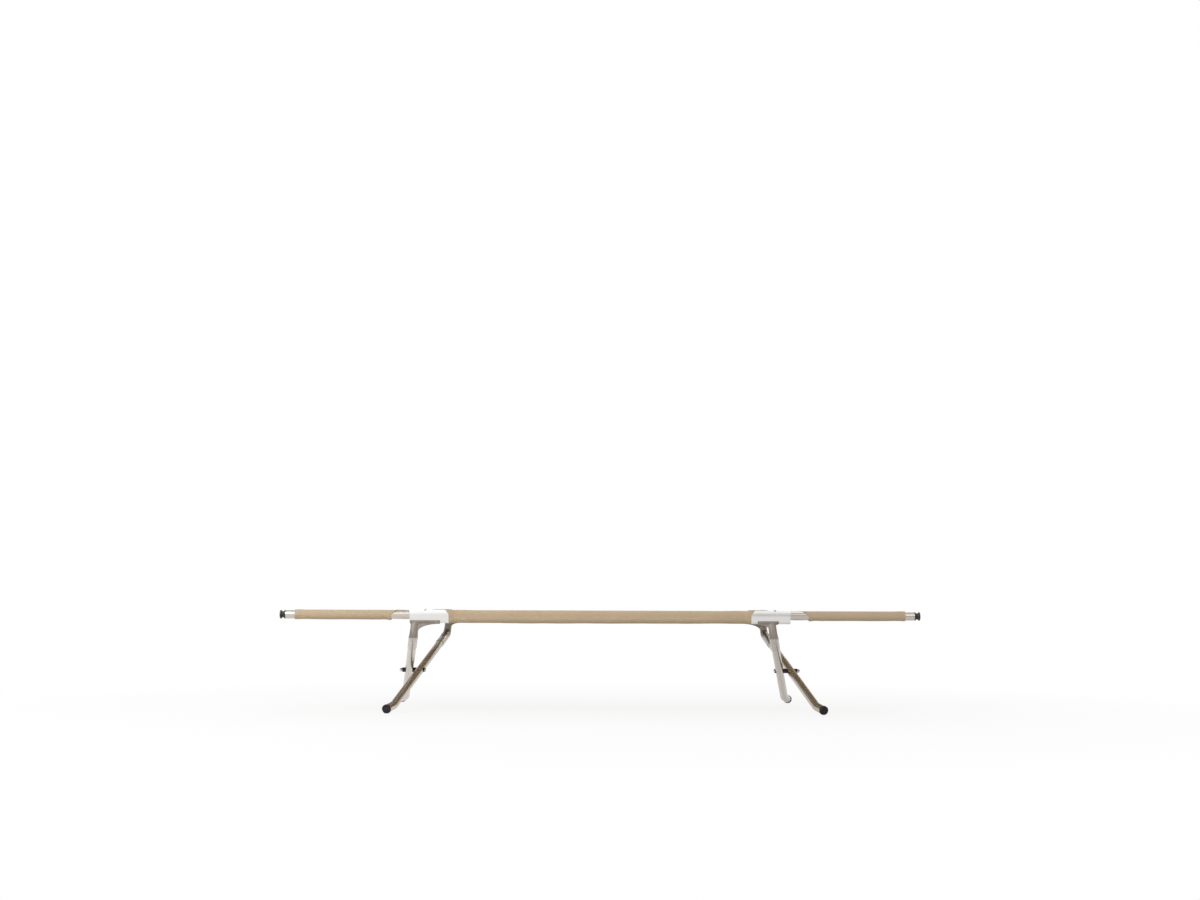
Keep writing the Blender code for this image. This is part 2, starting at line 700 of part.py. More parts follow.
def panel(edge_points):
    """Taut panel of cloth: (x, half width) points from one end to the other, mirrored in Y."""
    near = [Vector((x, -y, RAIL_HEIGHT + PANEL_BOTTOM)) for x, y in edge_points]
    far = [Vector((x, y, RAIL_HEIGHT + PANEL_BOTTOM)) for x, y in reversed(edge_points)]
    return prism(near + far, Vector((0.0, 0.0, PANEL_TOP - PANEL_BOTTOM)))


def centre_panel():
    """Bed between the two fold lines, drawn in beside the four brackets."""
    start = SLEEVE_END - WINDOW_CURVE
    end = HINGE_X - CLEARANCE
    half = [(start + WINDOW_CURVE * index / 6, 0.0) for index in range(7)] + [(end, 0.0)]
    half = [(x, window_step(x, start, SLEEVE_END)) for x, _ in half]
    return panel([(-x, y) for x, y in reversed(half)] + half)


def end_panel():
    """Bed past a fold line, drawn in beside the bare tube of its windows."""
    start = END_SLEEVE_START
    end = start + WINDOW_CURVE
    half = [(HINGE_X + CLEARANCE, WINDOW_EDGE)]
    half += [(start + WINDOW_CURVE * index / 6, 0.0) for index in range(7)]
    half += [(END_SLEEVE_END, 0.0)]
    half = [(x, window_step(x, end, start)) for x, _ in half]
    return panel(half)


def mirror(bm):
    """Reflects a solid to the other end of the cot and keeps its faces pointing out."""
    bm.transform(Matrix.Scale(-1.0, 4, (1.0, 0.0, 0.0)))
    bmesh.ops.reverse_faces(bm, faces=bm.faces)


def material(name, colour, roughness, metallic):
    """Principled material from a colour in display values."""
    made = bpy.data.materials.new(name)
    made.use_nodes = True
    shader = made.node_tree.nodes["Principled BSDF"]
    linear = [value / 12.92 if value <= 0.04045 else ((value + 0.055) / 1.055) ** 2.4 for value in colour]
    shader.inputs["Base Color"].default_value = (*linear, 1.0)
    shader.inputs["Roughness"].default_value = roughness
    shader.inputs["Metallic"].default_value = metallic
    return made


def axis_empty(name, place, parent=None):
    """Empty on a joint's axis, which carries the pieces that turn about it."""
    empty = bpy.data.objects.new(name, None)
    empty.empty_display_size = JOINT_MARK
    bpy.context.scene.collection.objects.link(empty)
    empty.location = place - (parent.location if parent else Vector())
    empty.parent = parent
    return empty


def add_piece(name, bm, finish, carrier=None, place=None):
    """Named object for one sub-part, with its origin on its carrier's axis."""
    origin = place if place else Vector()
    bm.transform(Matrix.Translation(-origin))
    mesh = bpy.data.meshes.new(name)
    bm.to_mesh(mesh)
    bm.free()
    mesh.shade_smooth()
    mesh.set_sharp_from_angle(angle=math.radians(32.0))
    own = finish.copy()
    own.name = name
    mesh.materials.append(own)
    item = bpy.data.objects.new(name, mesh)
    item.parent = carrier
    bpy.context.scene.collection.objects.link(item)
    return item


def placed(bm, side, turn):
    """Solid moved from the +X end of the front frame to its own end and frame."""
    if side < 0:
        mirror(bm)
    bm.transform(Matrix.Rotation(turn, 4, "Z"))
    return bm


def build_end(label, side, turn, finishes, parent, cloth_panel):
    """End length of a rail with everything that folds with it."""
    pin = vector(side * HINGE_X, 0.0, PIN_LIFT)
    pin.rotate(Matrix.Rotation(turn, 3, "Z"))
    hinge = axis_empty(label + "_end_axis", pin, parent)
    pieces = [("hinge_plug", hinge_plug(), "cast"),
              ("end_rail", end_rail(), "tube"),
              ("end_cap", end_cap(), "black"),
              ("sleeve", sleeve(0.0, END_SLEEVE_START, END_SLEEVE_END), "cloth")]
    for name, bm, finish in pieces:
        add_piece(label + "_" + name, placed(bm, side, turn), finishes[finish], hinge, pin)
    if cloth_panel:
        add_piece(cloth_panel, placed(end_panel(), side, turn), finishes["cloth"], hinge, pin)


def build_frame(frame, turn, finishes, carrier, place):
    """One side frame: its rail, brackets, leg heads, legs and end lengths."""
    turn_matrix = Matrix.Rotation(turn, 4, "Z")
    rail = middle_rail()
    rail.transform(turn_matrix)
    add_piece(frame + "_middle_rail", rail, finishes["tube"], carrier, place)
    cloth = sleeve(SECTION_DROP, -SLEEVE_END, SLEEVE_END)
    cloth.transform(turn_matrix)
    add_piece(frame + "_middle_sleeve", cloth, finishes["cloth"], carrier, place)
    stack = pivot_stack()
    for side, corner in CORNERS.items():
        end = "right" if side * math.cos(turn) > 0 else "left"
        label = frame + "_" + end
        centre = pivot_point(corner).x
        if corner is INNER_CORNER:
            faces = stack["head"], stack["middle"] - CLEARANCE / 2
        else:
            faces = stack["middle"] + CLEARANCE / 2, stack["nut"]
        pieces = [("bracket", bracket(corner), "bracket"),
                  ("rivet", rivet(), "bracket"),
                  ("hinge_pin", hinge_pin(), "bracket"),
                  ("leg_head", leg_head(corner), "cast"),
                  ("leg", leg(corner), "tube"),
                  ("foot_cap", foot_cap(corner), "black"),
                  ("inner_washer", saddle_washer(corner, faces[0], centre), "black"),
                  ("outer_washer", saddle_washer(corner, centre, faces[1]), "black")]
        for name, bm, finish in pieces:
            add_piece(label + "_" + name, placed(bm, side, turn), finishes[finish], carrier, place)
        cloth_panel = "bed_" + end if frame == "front" else None
        build_end(label, side, turn, finishes, carrier, cloth_panel)


def main():
    """Clears the scene and builds the cot."""
    for item in list(bpy.data.objects):
        bpy.data.objects.remove(item)
    finishes = {
        "tube": material("tube", (0.76, 0.73, 0.69), 0.24, 1.0),
        "bracket": material("bracket", (0.89, 0.88, 0.86), 0.20, 1.0),
        "cast": material("cast", (0.58, 0.53, 0.49), 0.45, 0.9),
        "black": material("black", (0.14, 0.14, 0.14), 0.55, 0.0),
        "cloth": material("cloth", (0.77, 0.68, 0.56), 0.85, 0.0),
    }
    fold = Vector((0.0, 0.0, pivot_z()))
    fold_axis = axis_empty("frame_fold_axis", fold)
    build_frame("front", 0.0, finishes, None, None)
    build_frame("back", math.pi, finishes, fold_axis, fold)
    for side, name in ((-1, "left"), (1, "right")):
        for item, maker in (("bolt", pivot_bolt), ("nut", pivot_nut)):
            bm = placed(maker(), side, 0.0)
            add_piece(name + "_pivot_" + item, bm, finishes["bracket"], None, None)
    add_piece("bed_center", centre_panel(), finishes["cloth"], None, None)


main()
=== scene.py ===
"""Folding camping cot: the finish of every surface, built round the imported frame.

X runs along the bed, Y across it and Z up, in metres, as in the frame. Most pieces are modelled
once, at the right end of the front rail, and copied to the other corners. The outer leg heads stand
at the front left and the back right, the inner ones at the front right and the back left.
"""

import math
from functools import cache

import bpy
from bpy.props import FloatProperty, FloatVectorProperty, PointerProperty
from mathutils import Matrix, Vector, noise


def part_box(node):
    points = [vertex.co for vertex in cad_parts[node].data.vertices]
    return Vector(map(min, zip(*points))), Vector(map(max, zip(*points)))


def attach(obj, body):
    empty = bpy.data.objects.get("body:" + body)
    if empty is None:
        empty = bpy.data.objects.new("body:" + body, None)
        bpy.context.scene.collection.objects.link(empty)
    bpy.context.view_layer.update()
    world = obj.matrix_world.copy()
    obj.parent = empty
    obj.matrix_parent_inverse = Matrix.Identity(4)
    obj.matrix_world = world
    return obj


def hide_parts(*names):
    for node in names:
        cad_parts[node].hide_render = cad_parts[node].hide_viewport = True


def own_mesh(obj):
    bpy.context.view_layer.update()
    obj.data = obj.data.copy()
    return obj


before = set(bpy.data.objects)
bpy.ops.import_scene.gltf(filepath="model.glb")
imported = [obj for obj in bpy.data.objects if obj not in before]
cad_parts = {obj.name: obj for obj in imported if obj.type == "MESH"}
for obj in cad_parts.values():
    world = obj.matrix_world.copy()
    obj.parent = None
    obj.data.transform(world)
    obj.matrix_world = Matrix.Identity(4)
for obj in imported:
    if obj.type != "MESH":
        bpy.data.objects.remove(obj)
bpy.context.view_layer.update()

bl_info = {
    "name": "Folding camping cot",
    "version": (1, 0, 0),
    "blender": (4, 5, 0),
    "location": "View3D > Sidebar > Cot",
    "description": "Models the rails, legs, hinges and cloth of a folding camping cot",
    "category": "Add Mesh",
}

# Corner: its rail, whether it is mirrored in X, and whether it is turned to the back rail
CORNERS = {
    "front_right": ("front", False, False),
    "front_left": ("front", True, False),
    "back_left": ("back", False, True),
    "back_right": ("back", True, True),
}
INNER_CORNERS = ("front_right", "back_left")
OUTER_CORNERS = ("front_left", "back_right")
ALL_CORNERS = tuple(CORNERS)
KINDS = (("inner", INNER_CORNERS), ("outer", OUTER_CORNERS))


def reach_x(node):
    """Where a frame node starts and ends along X."""
    low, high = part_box(node)
    return low.x, high.x


X_WAY = Vector((1.0, 0.0, 0.0))
Y_WAY = Vector((0.0, 1.0, 0.0))

# Rails
GAP = 0.0003
TUBE_RADIUS = 0.0125
TUBE_WALL = 0.0012
SECTION_DROP = 0.009
BORE_RADIUS = TUBE_RADIUS + GAP
INNER_RADIUS = TUBE_RADIUS - TUBE_WALL
RAIL_Y = -0.310
RAIL_HEIGHT = 0.290
END_RAIL_START, END_RAIL_END = reach_x("front_right_end_rail")
COT_END = reach_x("front_right_end_cap")[1]

# Hinge and bracket; a notch that reaches out past OPEN_NOTCH runs through the bracket's end
HINGE_X = 0.519
PIN_LIFT = 0.0146
PIN_RADIUS = 0.0016
KNUCKLE_RADIUS = 0.0032
BRACKET_START, BRACKET_END = reach_x("front_right_bracket")
BRACKET_TOP = 0.0156
BRACKET_HALF_WIDTH = 0.0164
BRACKET_SIDE_ARC = 0.048
BRACKET_BOTTOM = -0.0243
CHANNEL_START = 0.5145
NOTCH_Z = -0.016
OPEN_NOTCH = 0.04

# Leg heads and legs, along X from the hinge: root, neck and elbow, with how far the foot splays
# and how deep the web reaches
HEADS = {
    "inner": {"root": (-0.051, 0.010), "neck": -0.009, "elbow": -0.004,
              "splay": 0.116, "web": 0.040},
    "outer": {"root": (-0.045, 0.045), "neck": 0.030, "elbow": 0.034,
              "splay": 0.110, "web": 0.050},
}
NECK_RADIUS = 0.0118
NECK_DROP = 0.062
ELBOW_BEND = 0.022
SOCKET_RADIUS = 0.0137
COLLAR_Z = 0.221
SOCKET_LENGTH = 0.100
SOCKET_FLOOR = 0.022
FOOT_BEND = 0.060
FOOT_RUN = 0.0475
FOOT_YAW = math.radians(22.0)
FOOT_PITCH = math.radians(12.0)
FOOT_CAP_RADIUS = 0.0136
FOOT_CAP_LENGTH = 0.007
FOOT_SOLE = 0.0012

# Cloth
SEAM_FROM_RAIL = 0.008
FLANGE = 0.035
PANEL_EDGE = 0.3017
WINDOW_EDGE = 0.2916
PANEL_Z = 0.0134
PANEL_GAP = 0.00005
BED_HALF_LENGTH = 0.95
MIDDLE_SLEEVE_END = 0.4467
END_SLEEVE_START = 0.621
END_SLEEVE_END = 0.905
FOLD_X = HINGE_X
CLOTH_CLEARANCE = 0.00015

# Sewing: the rows beside the seams, how far they stop before a panel's ends, and the rows across
THREAD_RADIUS = 0.00028
SEAM_ROWS = (0.2845, 0.2765)
SEAM_INSET = 0.004
HEM_ROW = 0.005
HEM_REACH = 0.298
JOINT_REACH = 0.287

# Folded frame: height of the pivots, how far it folds, and how far the bed's halves lap
PIVOT_HEIGHT = 0.1173
FRAME_FOLD = math.radians(103.0)
FOLD_LAP = 0.0025

# Modelling: sides of a bent bar, and the angle above which a bevelled piece keeps an edge
BAR_SIDES = 44
LONG_FACE_ANGLE = 20.0


class CotSizes(bpy.types.PropertyGroup):
    """Sizes of the cloth and its sewing."""

    cloth: FloatProperty(name="Cloth", description="Thickness of the cloth",
                         default=0.0008, unit="LENGTH")
    sag: FloatProperty(name="Sag", description="How far the bed dips along its middle",
                       default=0.0045, unit="LENGTH")
    wrinkle: FloatProperty(name="Wrinkle", description="Height of the sleeves' wrinkles",
                           default=0.0008, unit="LENGTH")
    stitch: FloatProperty(name="Stitch", description="Length of one stitch",
                          default=0.0031, unit="LENGTH")
    pitch: FloatProperty(name="Stitch pitch", description="From one stitch to the next",
                         default=0.0042, unit="LENGTH")
    weave: FloatProperty(name="Weave", description="From one yarn of the cloth to the next",
                         default=0.0009, unit="LENGTH")


class CotColours(bpy.types.PropertyGroup):
    """Base colours of the finishes."""

    cloth: FloatVectorProperty(name="Cloth", description="Sand-coloured cloth", subtype="COLOR",
                               default=(0.545, 0.415, 0.272))
    tube: FloatVectorProperty(name="Tube", description="Satin tube", subtype="COLOR",
                              default=(0.60, 0.555, 0.50))
    bracket: FloatVectorProperty(name="Bracket", description="Bright bracket", subtype="COLOR",
                                 default=(0.83, 0.82, 0.80))
    cast: FloatVectorProperty(name="Casting", description="Tumbled leg head", subtype="COLOR",
                              default=(0.33, 0.29, 0.25))
    steel: FloatVectorProperty(name="Steel", description="Pins, rivets and bolts", subtype="COLOR",
                               default=(0.62, 0.60, 0.57))
    black: FloatVectorProperty(name="Black", description="Plastic and rubber", subtype="COLOR",
                               default=(0.018, 0.017, 0.017))


def sizes():
    """The cot's cloth sizes as the panel has them."""
    return bpy.context.scene.cot_sizes


def colours():
    """The cot's colours as the panel has them."""
    return bpy.context.scene.cot_colours


# Modelling by hand

def deselect():
    """Leaves edit mode and selects nothing."""
    active = bpy.context.view_layer.objects.active
    if active and active.mode != "OBJECT":
        bpy.ops.object.mode_set(mode="OBJECT")
    bpy.ops.object.select_all(action="DESELECT")


def pick(item):
    """Selects one object alone."""
    deselect()
    item.select_set(True)
    bpy.context.view_layer.objects.active = item
    return item


def edit(item):
    """Enters edit mode on one object, with all of it selected."""
    pick(item)
    bpy.ops.object.mode_set(mode="EDIT")
    bpy.ops.mesh.select_all(action="SELECT")


def made(name):
    """The object that an operator has just made, under its name."""
    item = bpy.context.object
    item.name = name
    return item


def duplicate(item, name):
    """Copy of an object with its own mesh."""
    pick(item)
    bpy.ops.object.duplicate(linked=False)
    return made(name)


def settle(item):
    """Puts an object's place, turn and scale into its mesh."""
    pick(item)
    bpy.ops.object.transform_apply(location=True, rotation=True, scale=True)
    item.rotation_mode = "XYZ"
    return item


def face_outwards(item):
    """Merges doubles and turns a closed mesh's faces outwards."""
    edit(item)
    bpy.ops.mesh.remove_doubles(threshold=1e-6)
    bpy.ops.mesh.normals_make_consistent(inside=False)
    bpy.ops.object.mode_set(mode="OBJECT")
    return item


def modify(item, kind, **settings):
    """Adds a modifier and applies it."""
    pick(item)
    modifier = item.modifiers.new(kind.title(), kind)
    for key, value in settings.items():
        setattr(modifier, key, value)
    bpy.ops.object.modifier_apply(modifier=modifier.name)
    return item


def cut(item, *tools):
    """Takes the tools' shapes out of a piece."""
    return with_tools(item, tools, "DIFFERENCE")


def join_on(item, *tools):
    """Adds the tools' shapes to a piece."""
    return with_tools(item, tools, "UNION")


def with_tools(item, tools, operation):
    """Boolean with each tool in turn, which is then removed."""
    for tool in tools:
        modify(item, "BOOLEAN", operation=operation, object=tool, solver="EXACT")
        bpy.data.objects.remove(tool)
    return item


def soften(item, width, angle=35.0):
    """Rounds the sharp edges and shades the rest smooth; no long face takes a rounding's tilt."""
    if width:
        modify(item, "BEVEL", width=width, segments=2, limit_method="ANGLE",
               angle_limit=math.radians(angle), use_clamp_overlap=True, miter_outer="MITER_ARC")
    pick(item)
    bpy.ops.object.shade_smooth_by_angle(angle=math.radians(LONG_FACE_ANGLE if width else angle))
    return item


def arc(centre, radius, start, end, steps):
    """Points on a flat arc, with its angles in degrees."""
    points = []
    for index in range(steps + 1):
        angle = math.radians(start + (end - start) * index / steps)
        points.append((centre[0] + radius * math.cos(angle), centre[1] + radius * math.sin(angle)))
    return points


def turned(name, origin, axis, stations, sides, ring=False):
    """Turned piece: a circle extruded and resized through (along, radius) stations, then aimed."""
    deselect()
    start, radius = stations[0]
    bpy.ops.mesh.primitive_circle_add(vertices=sides, radius=radius, fill_type="NGON",
                                      location=(0, 0, start))
    piece = settle(made(name))
    edit(piece)
    for (before, was), (along, wanted) in zip(stations, stations[1:]):
        bpy.ops.mesh.extrude_region_move(TRANSFORM_OT_translate={"value": (0, 0, along - before)})
        share = wanted / was
        bpy.ops.transform.resize(value=(share, share, 1), center_override=(0, 0, along))
    if ring:
        # Its stations end where they start: without their end faces the two circles merge
        bpy.ops.mesh.select_all(action="DESELECT")
        bpy.ops.mesh.select_face_by_sides(number=4, type="GREATER", extend=False)
        bpy.ops.mesh.delete(type="ONLY_FACE")
    face_outwards(piece)
    piece.rotation_mode = "QUATERNION"
    piece.rotation_quaternion = Vector((0, 0, 1)).rotation_difference(axis)
    piece.location = origin
    return settle(piece)


def rod(origin, way, start, end, radius, sides=56):
    """Plain bar along an axis, as a cutter or a core."""
    return turned("rod", origin, way, [(start, radius), (end, radius)], sides)


def prism(name, points, along):
    """Flat outline of 3-D points, filled and extruded."""
    deselect()
    bpy.ops.mesh.primitive_circle_add(vertices=len(points), radius=1, fill_type="NGON")
    piece = made(name)
    for vertex, point in zip(piece.data.vertices, points):
        vertex.co = point
    edit(piece)
    bpy.ops.mesh.extrude_region_move(TRANSFORM_OT_translate={"value": along})
    return face_outwards(piece)


def at_rail(x, y, z):
    """Point given from the front rail's axis."""
    return Vector((x, RAIL_Y + y, RAIL_HEIGHT + z))


def bar_along_x(name, outline, start, end):
    """Outline in (y, z) from the rail's axis, extruded along it."""
    return prism(name, [at_rail(start, y, z) for y, z in outline], (end - start, 0, 0))


def bent_bar(name, path, radii):
    """Round bar along a path, from a curve with a bevel."""
    deselect()
    bpy.ops.curve.primitive_nurbs_path_add()
    line = made(name)
    line.data.splines.clear()
    spline = line.data.splines.new("POLY")
    spline.points.add(len(path) - 1)
    for point, place, radius in zip(spline.points, path, radii):
        point.co = (*place, 1.0)
        point.radius = radius
    line.data.bevel_depth = 1.0
    line.data.bevel_resolution = BAR_SIDES // 2 - 2
    line.data.use_fill_caps = True
    bpy.ops.object.convert(target="MESH")
    return face_outwards(bpy.context.object)


def rounded_path(points, radius, steps):
    """Three points joined by straight runs, with an arc at the middle one."""
    start, corner, end = points
    first = (corner - start).normalized()
    second = (end - corner).normalized()
    turn = first.angle(second)
    inward = (second - first * first.dot(second)).normalized()
    arc_start = corner - first * radius * math.tan(turn / 2)
    centre = arc_start + inward * radius
    path = [start]
    for index in range(steps + 1):
        angle = turn * index / steps
        path.append(centre - inward * radius * math.cos(angle) + first * radius * math.sin(angle))
    return path + [end]


def obround(radius, drop, steps=24):
    """Round-ended upright section, its upper centre on the rail's axis."""
    return arc((0, 0), radius, 0, 180, steps) + arc((0, -drop), radius, 180, 360, steps)


def copied(model, name, mirrored, turned_round):
    """Copy with its own mesh, mirrored to the other end or turned to the other rail."""
    piece = duplicate(model, name)
    piece.rotation_mode = "XYZ"
    if mirrored:
        piece.scale.x = -1.0
    if turned_round:
        piece.rotation_euler.z = math.pi
    settle(piece)
    return face_outwards(piece) if mirrored else piece


def finished(piece, body, slot, material, *nodes):
    """Gives a piece its finish and its body, and hides the frame nodes that it stands for, if any.
    """
    piece.data.materials.clear()
    piece.data.materials.append(material)
    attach(piece, body)
    if nodes:
        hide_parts(*nodes)
    return piece


def at_corners(model, part, corners, slot, material, folding=False):
    """Copies a model to its corners, riding on the side frame or on the end that folds."""
    pieces = []
    for corner in corners:
        rail, mirrored, turned_round = CORNERS[corner]
        piece = copied(model, f"cot_{corner}_{part}", mirrored, turned_round)
        body = f"{corner}_end" if folding else f"{rail}_frame"
        pieces.append(finished(piece, body, slot, material, f"{corner}_{part}"))
    bpy.data.objects.remove(model)
    return pieces


# Shader maths

class Signal:
    """Output of a node, which adds Math nodes when it is used in a sum."""

    def __init__(self, graph, socket):
        self.graph = graph
        self.socket = socket

    def __add__(self, other):
        return self.graph.maths("ADD", self, other)

    def __sub__(self, other):
        return self.graph.maths("SUBTRACT", self, other)

    def __rsub__(self, other):
        return self.graph.maths("SUBTRACT", other, self)

    def __mul__(self, other):
        return self.graph.maths("MULTIPLY", self, other)

    __radd__ = __add__


class Graph:
    """Node tree of a material or of the world, built from signals."""

    def __init__(self, tree):
        self.tree = tree

    def node(self, kind, settings=None, sockets=None, output=0):
        """Adds a node: its settings first, then the values or links of its sockets."""
        item = self.tree.nodes.new(kind)
        for key, value in (settings or {}).items():
            setattr(item, key, value)
        for key, value in (sockets or {}).items():
            self.feed(item.inputs[key], value)
        return Signal(self, item.outputs[output])

    def feed(self, socket, value):
        """Links a signal to a socket, or sets its value."""
        if isinstance(value, Signal):
            self.tree.links.new(value.socket, socket)
        else:
            socket.default_value = value

    def maths(self, operation, *values):
        """Math node on signals and numbers."""
        return self.node("ShaderNodeMath", {"operation": operation}, dict(enumerate(values)))

    def place(self, source="Object", stretch=(1, 1, 1)):
        """Coordinates in metres, stretched along each axis."""
        coordinates = self.node("ShaderNodeTexCoord", output=source)
        return self.node("ShaderNodeMapping", {}, {"Vector": coordinates, "Scale": stretch})

    def axes(self, where):
        """X, Y and Z of a place or a direction."""
        split = self.node("ShaderNodeSeparateXYZ", {}, {"Vector": where}).socket.node
        return [Signal(self, output) for output in split.outputs]

    def ray(self, kind):
        """1 for rays of one kind, and 0 for the others."""
        return self.node("ShaderNodeLightPath", output=f"Is {kind} Ray")

    def speckle(self, where, scale=1.0, detail=2.0):
        """Noise round 0.5."""
        return self.node("ShaderNodeTexNoise", {},
                         {"Vector": where, "Scale": scale, "Detail": detail})

    def ramp(self, value, low, high):
        """Value scaled so that low gives 0 and high gives 1, with soft ends."""
        return self.node("ShaderNodeMapRange", {"interpolation_type": "SMOOTHSTEP"},
                         {"Value": value, "From Min": low, "From Max": high})

    def blend(self, share, first, second):
        """Colour between two colours."""
        return self.node("ShaderNodeMix", {"data_type": "RGBA"}, {0: share, 6: first, 7: second}, 2)


def tinted(colour, share):
    """Colour made darker or lighter, with full alpha."""
    return (*(min(value * share, 1.0) for value in colour), 1.0)


class Finish(Graph):
    """Material built round its Principled shader."""

    def __init__(self, name, metallic=0.0, **fixed):
        self.material = bpy.data.materials.new(name)
        self.material.use_nodes = True
        super().__init__(self.material.node_tree)
        self.shader = self.tree.nodes["Principled BSDF"]
        self.shader.inputs["Metallic"].default_value = metallic
        for key, value in fixed.items():
            socket = key.replace("_", " ").title().replace("Ior", "IOR")
            self.shader.inputs[socket].default_value = value

    def tones(self, share, colour, dark, light):
        """Colour between a darker and a lighter tone of one colour."""
        return self.blend(share, tinted(colour, dark), tinted(colour, light))

    def done(self, colour, roughness, height, depth, strength):
        """Feeds the shader and gives back the material."""
        self.feed(self.shader.inputs["Base Color"], colour)
        self.feed(self.shader.inputs["Roughness"], roughness)
        normal = self.node("ShaderNodeBump", {},
                           {"Height": height, "Distance": depth, "Strength": strength})
        self.feed(self.shader.inputs["Normal"], normal)
        return self.material


def drawn_metal(name, colour, roughness, source, stretch, mottle):
    """Drawn or extruded aluminium with fine lines along its length."""
    look = Finish(name, metallic=1.0)
    lines = look.speckle(look.place(source, stretch), detail=3.0)
    grain = look.speckle(look.place(), scale=1900.0)
    cloud = look.speckle(look.place(), scale=14.0, detail=3.0)
    shade = look.ramp(lines * 0.5 + cloud * 0.5, 0.32, 0.68)
    tone = look.tones(shade, colour, 1.0 - mottle, 1.0 + mottle)
    rough = roughness + (lines - 0.5) * 0.12 + (cloud - 0.5) * 0.08
    return look.done(tone, rough, lines + grain * 0.1, 0.00001, 0.12)


@cache
def tube_metal():
    """Satin tube of the rails, drawn along X."""
    return drawn_metal("tube_metal", colours().tube, 0.20, "Object", (6, 900, 900), 0.03)


@cache
def leg_metal():
    """Satin tube of the legs, drawn along each leg."""
    return drawn_metal("leg_metal", colours().tube, 0.23, "UV", (3, 40, 1), 0.02)


@cache
def bracket_metal():
    """Bright extrusion, sawn to length and tumbled."""
    return drawn_metal("bracket_metal", colours().bracket, 0.30, "Object", (10, 700, 700), 0.03)


@cache
def cast_metal():
    """Casting with a pebbled skin, linished smooth along the socket, where a painted highlight
    lightens its colour.
    """
    look = Finish("cast_metal", metallic=0.85)
    where = look.place()
    pebbles = look.speckle(where, scale=620.0, detail=3.0)
    pits = look.ramp(look.speckle(where, scale=1500.0, detail=1.0), 0.60, 0.74)
    cloud = look.speckle(where, scale=30.0, detail=4.0)
    shade = look.ramp(cloud * 0.6 + pebbles * 0.4, 0.34, 0.66)
    tone = look.tones(shade, colours().cast, 0.82, 1.18)
    height = look.axes(where)[2]
    # Below the collar the casting is smoother, and its colour is lightened towards the tube's: a
    # painted highlight.
    smooth_and_highlit = 1.0 - look.ramp(height, COLLAR_Z - 0.003, COLLAR_Z + 0.003)
    tone = look.blend(smooth_and_highlit * 0.85, tone, tinted(colours().tube, 1.05))
    rough = 0.47 - smooth_and_highlit * 0.17 + (pebbles - 0.5) * 0.25 + pits * 0.12
    return look.done(tone, rough, (pebbles - pits * 0.6) * (1.0 - smooth_and_highlit * 0.8), 0.0002, 0.55)


@cache
def plain_steel():
    """Plated steel of pins, rivets, bolts and nuts."""
    look = Finish("plain_steel", metallic=1.0)
    where = look.place()
    scuffs = look.speckle(where, scale=420.0, detail=4.0)
    tone = look.tones(scuffs, colours().steel, 0.9, 1.1)
    return look.done(tone, 0.24 + (scuffs - 0.5) * 0.2, scuffs, 0.00005, 0.4)


@cache
def black_plastic():
    """Black moulding with a fine spark-eroded grain."""
    look = Finish("black_plastic")
    where = look.place()
    grain = look.speckle(where, scale=2600.0, detail=2.0)
    cloud = look.speckle(where, scale=70.0, detail=3.0)
    tone = look.tones(cloud, colours().black, 0.8, 1.5)
    return look.done(tone, 0.44 + (grain - 0.5) * 0.3 + (cloud - 0.5) * 0.1, grain, 0.00008, 0.6)


@cache
def black_rubber():
    """Matt rubber, with a little dust in its grain."""
    look = Finish("black_rubber", specular_ior_level=0.35)
    where = look.place()
    grain = look.speckle(where, scale=1500.0, detail=3.0)
    dust = look.ramp(look.speckle(where, scale=160.0, detail=5.0), 0.50, 0.75)
    tone = look.blend(dust * 0.35, tinted(colours().black, 0.9), (0.075, 0.068, 0.060, 1.0))
    return look.done(tone, 0.72 + (grain - 0.5) * 0.25, grain, 0.00012, 0.7)


@cache
def cloth_weave():
    """Tight plain weave: its UV map is in metres, along the cloth and across it."""
    look = Finish("cloth_weave", sheen_weight=0.18, sheen_roughness=0.55, specular_ior_level=0.25)
    along, across, _ = look.axes(look.node("ShaderNodeTexCoord", output="UV"))
    turns = math.pi / sizes().weave
    warp = look.maths("SINE", along * turns)
    weft = look.maths("SINE", across * turns)
    basket = warp * weft
    warp_yarns = look.speckle(look.place("UV", (40, 1500, 1)), detail=2.0)
    weft_yarns = look.speckle(look.place("UV", (1500, 40, 1)), detail=2.0)
    over = look.ramp(basket, -0.6, 0.6)
    yarns = warp_yarns * over + weft_yarns * (1.0 - over)
    cloud = look.speckle(look.place("UV"), scale=11.0, detail=4.0)
    shade = look.ramp(yarns * 0.82 + cloud * 0.18, 0.36, 0.64)
    tone = look.tones(shade, colours().cloth, 0.86, 1.12)
    # Darker between the yarns' crests: painted shade in the weave's hollows.
    hollow = look.maths("ABSOLUTE", basket)
    tone = look.blend((1.0 - hollow) * 0.30, tone, tinted(colours().cloth, 0.60))
    rough = 0.80 + (yarns - 0.5) * 0.2
    return look.done(tone, rough, hollow + yarns * 0.5, 0.00016, 0.8)


@cache
def thread():
    """Twisted sewing thread, a little paler than the cloth."""
    look = Finish("thread", sheen_weight=0.2)
    twist = look.speckle(look.place("Object", (900, 900, 900)), detail=2.0)
    tone = look.tones(twist, colours().cloth, 0.95, 1.3)
    return look.done(tone, 0.6 + (twist - 0.5) * 0.3, twist, 0.0001, 0.6)


# Metal pieces

def bracket_side(z):
    """Half width of the bracket at a height, on one long outward arc."""
    return BRACKET_HALF_WIDTH - z * z / (2 * BRACKET_SIDE_ARC)


def underside(half, top, bottom, steps):
    """Lower half of an ellipse in (y, z), from one side to the other."""
    points = []
    for index in range(steps + 1):
        angle = math.pi * index / steps
        points.append((-half * math.cos(angle), top - (top - bottom) * math.sin(angle)))
    return points


